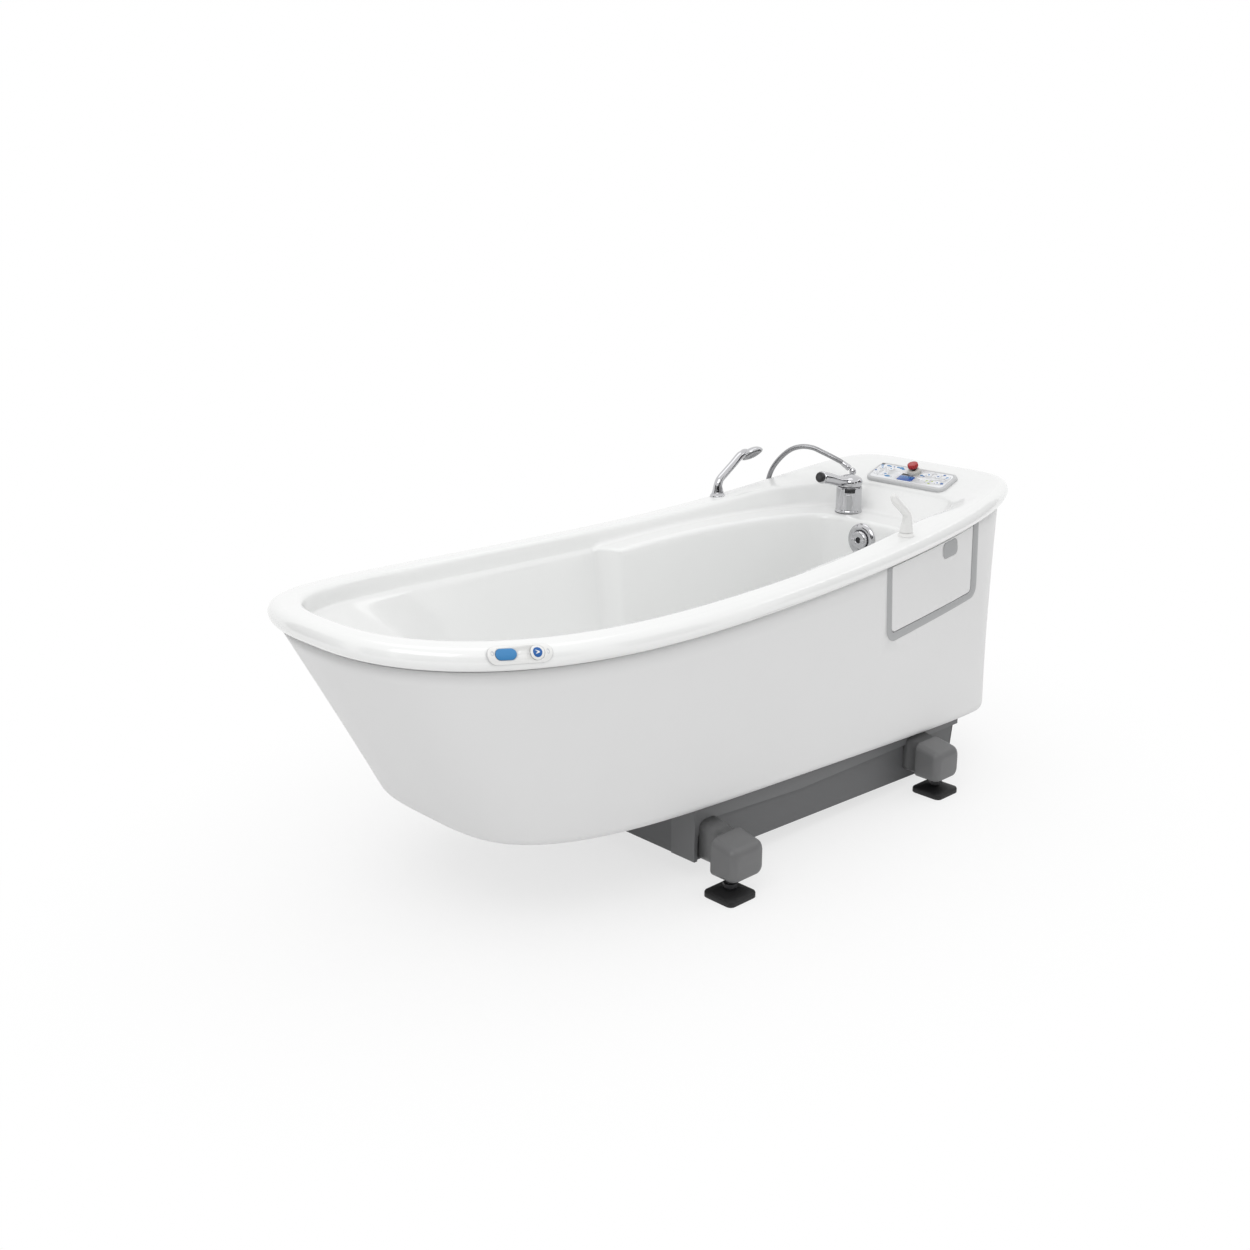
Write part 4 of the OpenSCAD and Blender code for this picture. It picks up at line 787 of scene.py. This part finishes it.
# The lever grows out of the dome: one skin of cross-sections along its length
def buildHandle():
    lathe("mixerDome", [(32.2, 11), (32.2, 0, 0.2), (33.6, 0, 1), (35, 4, 3), (35, 14, 4), (30, 23, 8),
          (16, 28, 10), (0, 28.9)], shifted(mixerPlace, 0, 0, handleZ), "mixer_handle", "chrome",
          node="mixer_handle", seg=96, steps=5)
    pts = smoothLine([(-4, 0, handleZ + 15), (-26, 0, handleZ + 15.5), (-52, 0, handleZ + 20),
                      (-88, 0, handleZ + 31), (-112, 0, handleZ + 37), (-123, 0, handleZ + 39)], 6)
    along = [i / (len(pts) - 1) for i in range(len(pts))]  # 0 at the dome, 1 at the tip
    radii = [lerp(15.0, 17.5, t) for t in along[:-2]] + [16.4, 14.6]
    squash = [(lerp(1.18, 1.06, t), lerp(0.84, 0.98, t)) for t in along]
    rings = [[mixerPlace @ p for p in r] for r in tubeRings(pts, radii, 40, (0, 1, 0), squash)]
    ringsObject("mixerLever", rings, [mixerPlace @ pts[0], mixerPlace @ pts[-1]], "mixer_handle", "chrome",
                mixerLook["metal"], "mixer_handle")
    tipPlace = mixerPlace @ turned((-128, 0, handleZ + 40), y=102.5)
    lathe("leverTip", [(8.7, 3), (8.7, 11.7, 0.3), (0, 11.7)], tipPlace, "mixer_handle", "black_plastic",
          steps=3)
    lathe("leverCap", [(0, -3.4), (11.2, -3.4, 1.5), (13.6, -1.6, 1.5), (13.8, 3, 0.3), (4, 3)], tipPlace,
          "mixer_handle", "black_plastic", mixerLook["tip"], node="handle_tip")


buildHandle()

# Hose from its ball joint over the far rim into the casing
hoseLook = {"metal": "hoseSteel", "diameter": 14.0, "ribPitch": 3.2, "ribDepth": 0.35}
elbowAt = mixerPlace @ Vector((outletR * cos(outletTurn), outletR * sin(outletTurn), outletZ))
elbowTop = elbowAt + Vector((0, 0, elbowRise))
lathe("elbowBody", [(0, 0), (10, 0, 1.5), (10, 18, 1.5), (0, 18)], shifted(outletPlace, 0, 0, outletR - 8.9),
      "tub", "chrome", node="hose_elbow")
lathe("elbowRiser", [(0, 0), (7.5, 0, 0.5), (7.5, 16, 2), (9.2, 18, 1), (9.2, 24, 1), (6.6, 27, 2),
      (6.2, 34, 3), (9.4, 41, 3), (9.5, 47, 4), (6.5, 54, 3), (0, 56.4)], Matrix.Translation(elbowAt), "tub",
      "chrome", node="hose_elbow")
hoseDir = Vector((-0.42, 0.70, 0.58)).normalized()
hose0 = elbowTop + hoseDir * 36
ferrulePlace = Matrix.Translation(elbowTop) @ hoseDir.to_track_quat("Z", "Y").to_matrix().to_4x4()
lathe("hoseFerrule", [(4, 10), (8, 10, 0.6), (8.8, 14, 1.5), (8.8, 19, 1), (7.9, 20.5, 0.6), (8.2, 22, 1),
      (7.6, 35.4, 1), (4, 35.4)], ferrulePlace, "tub", "chrome", node="hose_ferrule", steps=3)
hosePts = [(778, 178.5, 769), (769, 203, 779), (756, 226, 789), (741, 252, 791), (726, 279, 781),
           (713, 304, 757), (704, 326, 724), (702, 340, 686), (703, 347, 646), (704, 351, 604),
           (703, 354, 562), (699, 357, 522), (690, 360, 487), (675, 362, 460), (655, 362, 448),
           (634, 361, 453), (619, 360, 471), (612, 359, 493), (610, 356, 511), (610, 349, 523),
           (610, 340, 528)]
grommetX, grommetZ = 610.0, 528.0
hoseEnd = Vector((grommetX, sideY(grommetX, grommetZ) + 6.5, grommetZ))
hoseRoute = [hose0 + hoseDir * 6] + [Vector(p) for p in hosePts] + [hoseEnd]
hoseLine = [hose0] + smoothLine(hoseRoute, 14)


# Even steps along the hose, so that its coils are even too
def evenly(points, step):
    out, need = [points[0]], step
    for a, b in zip(points, points[1:]):
        d = (b - a).length
        while need <= d:
            out.append(a.lerp(b, need / d))
            need += step
        need -= d
    return out + [points[-1]]


coils = evenly(hoseLine, hoseLook["ribPitch"] / 2)
hoseRadii = [hoseLook["diameter"] / 2 - (hoseLook["ribDepth"] if i % 2 else 0) for i in range(len(coils))]
hose = ringsObject("chromeHose", tubeRings(coils, hoseRadii, 20, (1, 0, 0)), [coils[0], coils[-1]], "tub",
                   "chrome", hoseLook["metal"], node="shower_hose")
grommetPlace = turned((grommetX, hoseEnd.y - 6.5 - 7, grommetZ), x=-90)
lathe("hoseGrommet", [(0, 0), (11.7, 0, 0.5), (11.7, 8, 0.4), (16, 8, 0.4), (15.4, 10.5, 1.5), (13, 12, 1),
      (0, 12)], grommetPlace, "tub", "black_rubber", node="hose_grommet", steps=3)


# Fittings on the rim, in the collars' own frames
collarX = 470.0


def collarPlace(side, inset):
    return turned((collarX, side * (rimHalf(collarX) - inset), rollZ(collarX) + 24))


def tube(name, place, points, radii, body, slotName, tone=None, node=None, perStep=6):
    pts = smoothLine(points, perStep)
    rad = []
    for i in range(len(pts)):
        k = min(i // perStep, len(radii) - 2)
        rad.append(lerp(radii[k], radii[k + 1], i / perStep - k))
    rings = [[place @ p for p in r] for r in tubeRings(pts, rad, 40)]
    ringsObject(name, rings, [place @ pts[0], place @ pts[-1]], body, slotName, tone, node)


# A collar on the deck, and in it the spigot of the handle that it holds
def buildCollar(name, body, place, d, slotName, tone):
    lathe(name + "Foot", [(8.6, -30), (11.5, -30, 0.5), (11.5, 0.1, 0.3), (d / 2, 0.1, 0.4),
          (d / 2, 3.6, 1.5), (d / 2 - 2.4, 6.4, 2), (d / 2 - 5, 10.1, 1.2), (8.6, 10.1)], place, "tub",
          slotName, tone, name + "_collar", seg=64)
    lathe(name + "Spigot", [(8.1, -25), (8.1, 11)], place, body, slotName, tone)


handsetLook = {"metal": "chrome", "face": "nozzles", "headR": 33.0, "faceR": 25.0}
handPlace = collarPlace(1, 36)
buildCollar("handset", "handset", handPlace, 42.0, "chrome", handsetLook["metal"])
tube("handsetTube", shifted(handPlace, 0, 0, 0.5), [(0, 0, 10), (0, 0, 18), (0.5, 0, 30), (8, 0, 45),
     (30, 0, 61), (59, 0, 80.5), (85, 1.8, 97.4), (97, 3.4, 100.6), (109, 5.2, 104.3), (121, 5.3, 105.4)],
     [16.5, 14.2, 11.8, 10.8, 10.8, 10.8, 11, 11.2, 10.5, 8], "handset", "chrome", node="handset")
headPlace = handPlace @ turned((133, 1, 101), y=144.3, z=-90)
headR, faceR = handsetLook["headR"], handsetLook["faceR"]
lathe("handsetHead", [(0, -12.5), (14, -12, 5), (headR - 8, -8, 6), (headR - 1, -1, 4), (headR, 3, 2),
      (headR - 0.8, 6, 1.2), (faceR + 1, 6, 0.5), (faceR + 0.3, 5, 0.2), (0, 5)], headPlace, "handset",
      "chrome", handsetLook["metal"], seg=80, node="handset", steps=5)
lathe("handsetNozzles", [(0, 6.1), (faceR, 6.1, 0.1), (faceR, 7.6, 0.6), (faceR - 2, 8.8, 1.5), (0, 9.1)],
      headPlace, "handset", "pale_plastic", handsetLook["face"], seg=64, node="handset_face")
lathe("handsetRing", [(faceR + 0.4, 5.4), (faceR + 3.4, 5.4, 0.1), (faceR + 3.4, 6.6, 0.5),
      (faceR + 0.4, 6.6)], headPlace, "handset", "chrome", "black", seg=64, steps=2)

sprayLook = {"plastic": "white"}
sprayPlace = collarPlace(-1, 40)
buildCollar("spray", "spray_handle", sprayPlace, 40.0, "white_plastic", sprayLook["plastic"])
tube("sprayNeck", shifted(sprayPlace, 0, 0, 10.5), [(0, 0, 0), (0, 0, 12), (-1, -2, 28), (-10, -6, 46),
     (-28, -8, 62), (-46, -8, 76), (-60, -8, 88), (-66, -8, 98), (-63, -8, 103)],
     [16.5, 15, 12, 10.5, 10, 10, 9.8, 9, 5.5], "spray_handle", "white_plastic", sprayLook["plastic"],
     node="spray_handle")

# Overflow rosette with its knob
knobLook = {"metal": "chrome", "well": "black", "grips": 24, "gripDepth": 0.8}
rosettePlace = turned((wellEnd - 8.3, 0, ledgeZ(shelfEnd) - 53), y=3.4 - 90)
lathe("rosetteRing", [(21.4, -26), (25.4, -26, 0.5), (25.4, 0.3, 0.4), (44, 0.3, 0.5), (44, 3.2, 2),
      (41, 6, 3), (35, 9, 3), (29, 9.3, 1.5), (26.6, 7.6, 1), (26.4, 5, 0.5), (21.4, 5)], rosettePlace,
      "tub", "chrome", seg=96, node="overflow_rosette")
lathe("rosetteGap", [(21.6, 4.2), (21.6, 5.3, 0.1), (26.3, 5.3, 0.1), (26.3, 4.2)], rosettePlace, "tub",
      "black_rubber", "black", seg=64, steps=2)
lathe("knobBody", [(0, -8), (5, -8, 0.4), (5, 5.4, 0.3), (25.2, 5.6, 0.5), (25.6, 12, 2), (23.6, 17, 2.4),
      (20, 19.2, 2), (10, 18.6, 1.5), (8.2, 17.4, 0.8), (8, 12.2, 0.4), (0, 12.2)], rosettePlace,
      "waste_knob", "chrome", knobLook["metal"], seg=192, node="waste_knob", ribs=knobLook["grips"],
      ribDepth=knobLook["gripDepth"], ribSpan=(5.8, 16))
lathe("knobWell", [(0, 12.4), (7.6, 12.4, 0.1), (7.6, 13, 0.1), (0, 13)], rosettePlace, "waste_knob",
      "chrome", knobLook["well"], steps=2)
for i in (0, 1):
    grip = [rectLoop(w, h, r, z, 0, 15.5, 4)
            for w, h, r, z in ((8, 13, 2.5, 16), (7.6, 12.6, 2.3, 20.6), (6, 11, 1.6, 21.9))]
    stacked("knobGrip%d" % i, rosettePlace @ Matrix.Rotation(pi * i, 4, "Z"), grip, "waste_knob", "chrome",
            knobLook["metal"])
print("fittings done")

# Keypad on the near rim's roll
keypadLook = {"plate": "white", "up": "blue", "ring": "darkBlue", "mark": "white", "faint": "faint",
              "seat": "frameGrey"}
pillX, pillLift, pillT, pillL, pillW = -762.0, 34.0, 3.5, 128.0, 42.0
# Both buttons: length, width, place along the plate
upKey, callKey, ringD = (40.0, 22.0, -30.0), (29.0, 29.0, 32.0), 19.0


def rollCentre(x):
    return Vector((x, -rimHalf(x) + rollR, rollZ(x)))


pillTurn = atan2(rimHalf(pillX + 40) - rimHalf(pillX - 40), 80)
pillOut = Vector((0, -cos(radians(pillLift)), sin(radians(pillLift))))
pillOut.rotate(Matrix.Rotation(-pillTurn, 3, "Z"))


# A place on the roll: u along it, v across it, h above its surface
def pillPt(u, v, h):
    x = pillX + u * cos(pillTurn)
    c = rollCentre(x)
    t = (rollCentre(x + 5) - rollCentre(x - 5)).normalized()
    n = (pillOut - t * pillOut.dot(t)).normalized()
    w = v / (rollR + 2)
    side = n.cross(t)
    return c + (n * cos(w) + side * sin(w)) * (rollR + h)


def pillPiece(name, l, w, cx, h0, h1, body, slotName, tone=None, node=None, edge=1.2, hole=None):
    def loop(d, h):
        r = max(min(l, w) / 2 - d - 0.1, 0.3)
        return [pillPt(p.x + cx, p.z, h) for p in roundRect2d(l - 2 * d, w - 2 * d, r, 12)]
    rings = [loop(0, h0), loop(0, h1 - edge)]
    rings += [loop(edge * (1 - cos(a)), h1 - edge * (1 - sin(a))) for a in quarter(3, 1)]
    if hole:
        rings += [loop(hole, h1), loop(hole + 0.4, h1 - 0.6), loop(hole + 0.4, h0)]
        return ringsObject(name, rings, (), body, slotName, tone, node)
    reach = min(l, w) / 2
    rings += [loop(edge + (reach - edge) * k / 6, h1) for k in range(1, 6)]
    rings = [loop(reach * k / 6, h0) for k in range(5, 0, -1)] + rings
    return ringsObject(name, rings, [pillPt(cx, 0, h0), pillPt(cx, 0, h1)], body, slotName, tone, node)


def pillMark(name, outline, h, body, slotName, tone):
    barObject(name, [[pillPt(x, y, q) for x, y in outline] for q in (h, h + 0.15)], body, slotName, tone)


# Painted shade: a grey ring just round the plate's edge stands for the shadow of the gap between plate and
# roll
pillPiece("keypadShadeOutline", pillL + 3.2, pillW + 3.2, 0, 0.2, 1.0, "tub", "pale_plastic", keypadLook["seat"],
          edge=0.4, hole=4.0)
plate = pillPiece("keypadPlate", pillL, pillW, 0, 0.6, pillT, "tub", "white_plastic", keypadLook["plate"],
                  "keypad_housing", edge=1.6)
for (l, w, cx), play in ((upKey, 1.6), (callKey, 1.8)):
    cut(plate, pillPiece("cutter", l + play, w + play, cx, 0.2, pillT + 3, None, "white_plastic", edge=0.2))
pillPiece("keypadUp", *upKey, pillT - 2, pillT + 0.7, "keypad_up", "key_blue", keypadLook["up"], "keypad_up",
          edge=0.6)
pillPiece("keypadCall", *callKey, pillT - 2, pillT + 0.3, "keypad_call", "white_plastic",
          keypadLook["plate"], "keypad_call", edge=0.6)
pillPiece("callRing", ringD, ringD, callKey[2], pillT - 1, pillT + 0.7, "keypad_call", "key_dark_blue",
          keypadLook["ring"], edge=0.4)
pillMark("callMark", [(28.2, -3.2), (28.2, 4.4), (35.6, 1.2), (36.2, -1.2)], pillT + 0.72, "keypad_call",
         "white_plastic", keypadLook["mark"])
pillMark("faintLeft", oval(-55, 2, 3.4, 4.6, 20), pillT + 0.02, "tub", "pale_plastic", keypadLook["faint"])
pillMark("faintRight", oval(54, 0, 3.0, 5.2, 20), pillT + 0.02, "tub", "pale_plastic", keypadLook["faint"])
print("keypad done")

# Plinth: on each side a set-back panel with a proud band above and a post at its head end; two ends. The
# panels and both ends are painted shade: a darker copy of the plinth grey
plinthLook = {"cover": "plinth", "panel": "plinthPaintedShade", "head": -259.0, "foot": 738.0, "out": 316.0,
              "back": 309.0, "wrap": 73.0, "post": 10.0, "archR": 62.0, "arch": 146.0, "band": 128.0}


# A plate of even thickness, from its outline in the X-Z plane
def slab(name, outline, y0, y1, tone="cover"):
    rings = [[Vector((x, y, z)) for x, z in outline] for y in (y0, y1)]
    barObject(name, rings, "base", "plinth_grey", plinthLook[tone], "plinth_cover")


def plinthFloor(x):
    return 55 - 0.03 * (x + 249)


def bandZ(x):
    return plinthLook["band"] + (plinthLook["arch"] - plinthLook["band"]) * clamp((100 - x) / 284)


def plinthTop(x):
    return apronEdge(x) + 6


# A strip from the plinth's lower edge to its upper one, which it meets at low and at high; the heights of
# both edges are those at the two places in at
def strip(at, low, high, rise=0.0):
    lower = [(x, plinthFloor(a) + rise) for x, a in zip(low, at)]
    return lower + [(x, plinthTop(a)) for x, a in zip(high, at)][::-1]


def buildPlinth():
    head, foot, wrap = plinthLook["head"], plinthLook["foot"], plinthLook["wrap"]
    post, r = head + plinthLook["post"], plinthLook["archR"]
    xs = [lerp(post + r, foot, k / 16) for k in range(17)]
    arch = [(post + r - r * cos(w), bandZ(post + r) - r * 0.6 * (1 - sin(w)))
            for w in quarter(12)[:-1]]
    border = [(head, plinthFloor(head)), (post, plinthFloor(post))] + arch + [(x, bandZ(x)) for x in xs]
    border += [(x, plinthTop(x)) for x in xs[::-1]] + [(head, plinthTop(head))]
    panel = strip((post, foot), (post - 6, foot - 26), (post - 6, foot - 6))
    wrapEnds = head, head + 4
    out, back = plinthLook["out"], plinthLook["back"]
    for i, side in enumerate((-1, 1)):
        slab("plinthBorder%d" % i, border, side * out, side * (back - 1))
        slab("plinthPanel%d" % i, panel, side * back, side * (back - 1), "panel")
        slab("plinthWrap%d" % i, strip((head, head), wrapEnds, wrapEnds), side * (back - 1),
             side * (out - wrap))
    inner, headEnds = out - wrap - 1.5, (head + 1.5, head + 5)
    slab("plinthHeadEnd", strip((head, head), headEnds, headEnds, 1), -inner, inner, "panel")
    slab("plinthFootEnd", strip((foot, foot), (foot - 29, foot - 26), (foot - 9, foot - 6)), -back, back,
         "panel")


buildPlinth()
print("plinth done")

# Feet: one boot covers each arm's end and its run into the plinth; pads below
footLook = {"boot": "boot", "pad": "rubber", "padW": 88.0, "bootZ": 50.0, "front": 127.0, "rise": 0.20,
            "round": 17.0, "armZ": 56.0}
# Head and foot pair: start of the boot's head side, its width, the arm's insets, reach and depth
bootSizes = [(-276.0, 103.0, 31.0, 13.0, 450.0, 72.0), (508.0, 96.0, 4.0, 6.0, 420.0, 72.0)]
footAt = [(x, s * y) for x, y in ((-240, 408), (568, 374)) for s in (-1, 1)]
padW = footLook["padW"]


def bootLoop(x0, x1, z0, z1, r, y):
    return [Vector(((x0 + x1) / 2 + p.x, y, (z0 + z1) / 2 + p.z))
            for p in roundRect2d(x1 - x0, z1 - z0, r, 8)]


def buildBoot(i, side, size):
    x0, width, inHead, inFoot, reach, depth = size
    x1, r = x0 + width, footLook["round"]
    z0, front = footLook["bootZ"], footLook["front"]
    rings = []
    for w in quarter(6):
        d, u = r * (1 - sin(w)), r * (1 - cos(w))
        rings.append(bootLoop(x0 + d, x1 - d, z0 + d * 0.6, front + footLook["rise"] * u - d, r,
                              side * (reach - u)))
    for u in (r + 1, depth * 0.5, depth - 7, depth - 3):
        rings.append(bootLoop(x0, x1, z0, front + footLook["rise"] * u, r, side * (reach - u)))
    inside = reach - plinthLook["back"] + 6
    for u, f in ((depth, 0.35), (depth + 1.5, 1.0), (depth + 24, 1.0), (inside, 1.0)):
        rings.append(bootLoop(x0 + inHead * f, x1 - inFoot * f, lerp(z0, footLook["armZ"], f),
                              front + footLook["rise"] * u - 2 * f, r, side * (reach - u)))
    ringsObject("boot%d" % i, rings, [middle(rings[0]), middle(rings[-1])], "base", "boot_grey",
                footLook["boot"], "foot_boots")


for i, (x, y) in enumerate(footAt):
    buildBoot(i, 1 if y > 0 else -1, bootSizes[i // 2])
    pad = [rectLoop(w, w, r, z)
           for w, r, z in ((padW - 3, 13, 0), (padW, 14, 1.5), (padW, 14, 11), (padW - 3, 12.5, 14),
                           (padW - 22, 28, 15), (42, 20, 20))]
    stacked("pad%d" % i, turned((x, y, 0)), pad, "base", "black_rubber", footLook["pad"], node="foot_pads")
print("feet done")


# Stage
stageLook = {"world": 0.79, "key": 30.0, "top": 11.0, "side": 14.0, "shadow": 0.30, "flag": 0.02}
whitest = (1, 1, 1, 1)


# How far a ray counts as one that must see the white background
def seenRays(tree):
    rays = addNode(tree, "LightPath")
    share = rays.outputs["Is Camera Ray"]
    for kind in ("Is Glossy Ray", "Is Transmission Ray"):
        larger = addNode(tree, "Math")
        larger.operation = "MAXIMUM"
        tree.links.new(share, larger.inputs[0])
        tree.links.new(rays.outputs[kind], larger.inputs[1])
        share = larger.outputs[0]
    return share


def mixShaders(tree, share, lit, seen, target):
    mix = addNode(tree, "MixShader")
    for i, socket in enumerate((share, lit.outputs[0], seen.outputs[0])):
        tree.links.new(socket, mix.inputs[i])
    link(tree, mix, "Shader", tree.nodes[target], "Surface")


world = bpy.data.worlds.new("world")
scene.world = world
world.use_nodes = True
wn = world.node_tree
lit = setInputs(wn.nodes["Background"], {"Color": whitest, "Strength": stageLook["world"]})
seen = addNode(wn, "Background", {"Color": whitest, "Strength": 1.0})
mixShaders(wn, seenRays(wn), lit, seen, "World Output")


def areaLamp(name, at, target, size):
    data = bpy.data.lights.new(name, "AREA")
    data.shape = "RECTANGLE"
    data.size, data.size_y = size
    data.energy = stageLook[name]
    lamp = addObject(name, data)
    lamp.location = at
    lamp.rotation_euler = (Vector(target) - Vector(at)).to_track_quat("-Z", "Y").to_euler()


areaLamp("key", (-2.2, -1.6, 3.2), (0.1, 0, 0.4), (2.4, 1.6))
areaLamp("top", (0.4, 0.6, 3.4), (0.1, 0, 0.5), (2.8, 1.6))
areaLamp("side", (3.4, -1.8, 1.8), (1.0, -0.2, 0.4), (1.6, 1.6))


def stageQuad(name, corners, mat):
    mesh = bpy.data.meshes.new(name)
    mesh.from_pydata(corners, [], [(0, 1, 2, 3)])
    mesh.materials.append(mat)
    return addObject(name, mesh)


# Dark flags around the stage: only reflections see them
flagAngles, flagFar, flagHigh = (150, 186, 214, 238, 262, 296, 330), 2.5, Vector((0, 0, 1.7))
flagMat = newMaterial("flag", {"Base Color": (*[stageLook["flag"]] * 3, 1), "Specular IOR Level": 0.0})[0]
for i, az in enumerate(flagAngles):
    w = radians(az)
    side = Vector((-sin(w), cos(w), 0)) * (0.42 if i % 2 else 0.62)
    foot = Vector((flagFar * cos(w), flagFar * sin(w), 0.0))
    corners = [foot - side, foot + side, foot + side + flagHigh, foot - side + flagHigh]
    flag = stageQuad("flag%d" % i, corners, flagMat)
    flag.visible_camera = flag.visible_diffuse = flag.visible_shadow = flag.visible_transmission = False

# The floor is white to the eye and keeps a light shadow near the bath
floorMat, fn, floorBsdf = newMaterial("floor", {"Roughness": 0.8, "Base Color": (0.9, 0.9, 0.9, 1)})
glow = addNode(fn, "Emission", {"Strength": 1.0})
squash = addNode(fn, "VectorMath")
squash.operation = "MULTIPLY"
squash.inputs[1].default_value = (0.7, 1.0, 1.0)
link(fn, addNode(fn, "TexCoord"), "Object", squash, 0)
distance = addNode(fn, "VectorMath")
distance.operation = "LENGTH"
link(fn, squash, "Vector", distance, 0)
fade = addNode(fn, "MapRange", {"From Min": 0.35, "From Max": 1.25, "To Min": 1 - stageLook["shadow"],
                                "To Max": 1.0})
fade.interpolation_type = "SMOOTHSTEP"
link(fn, distance, "Value", fade, "Value")
share = addNode(fn, "Math")
share.operation = "MULTIPLY"
fn.links.new(seenRays(fn), share.inputs[0])
link(fn, fade, "Result", share, 1)
mixShaders(fn, share.outputs[0], floorBsdf, glow, "Material Output")
floorSide = 28
floor = stageQuad("floor", [(x, y, 0) for x, y in bar(0, 0, floorSide, floorSide)], floorMat)

scene.view_settings.view_transform = "Standard"
scene.view_settings.look = "None"
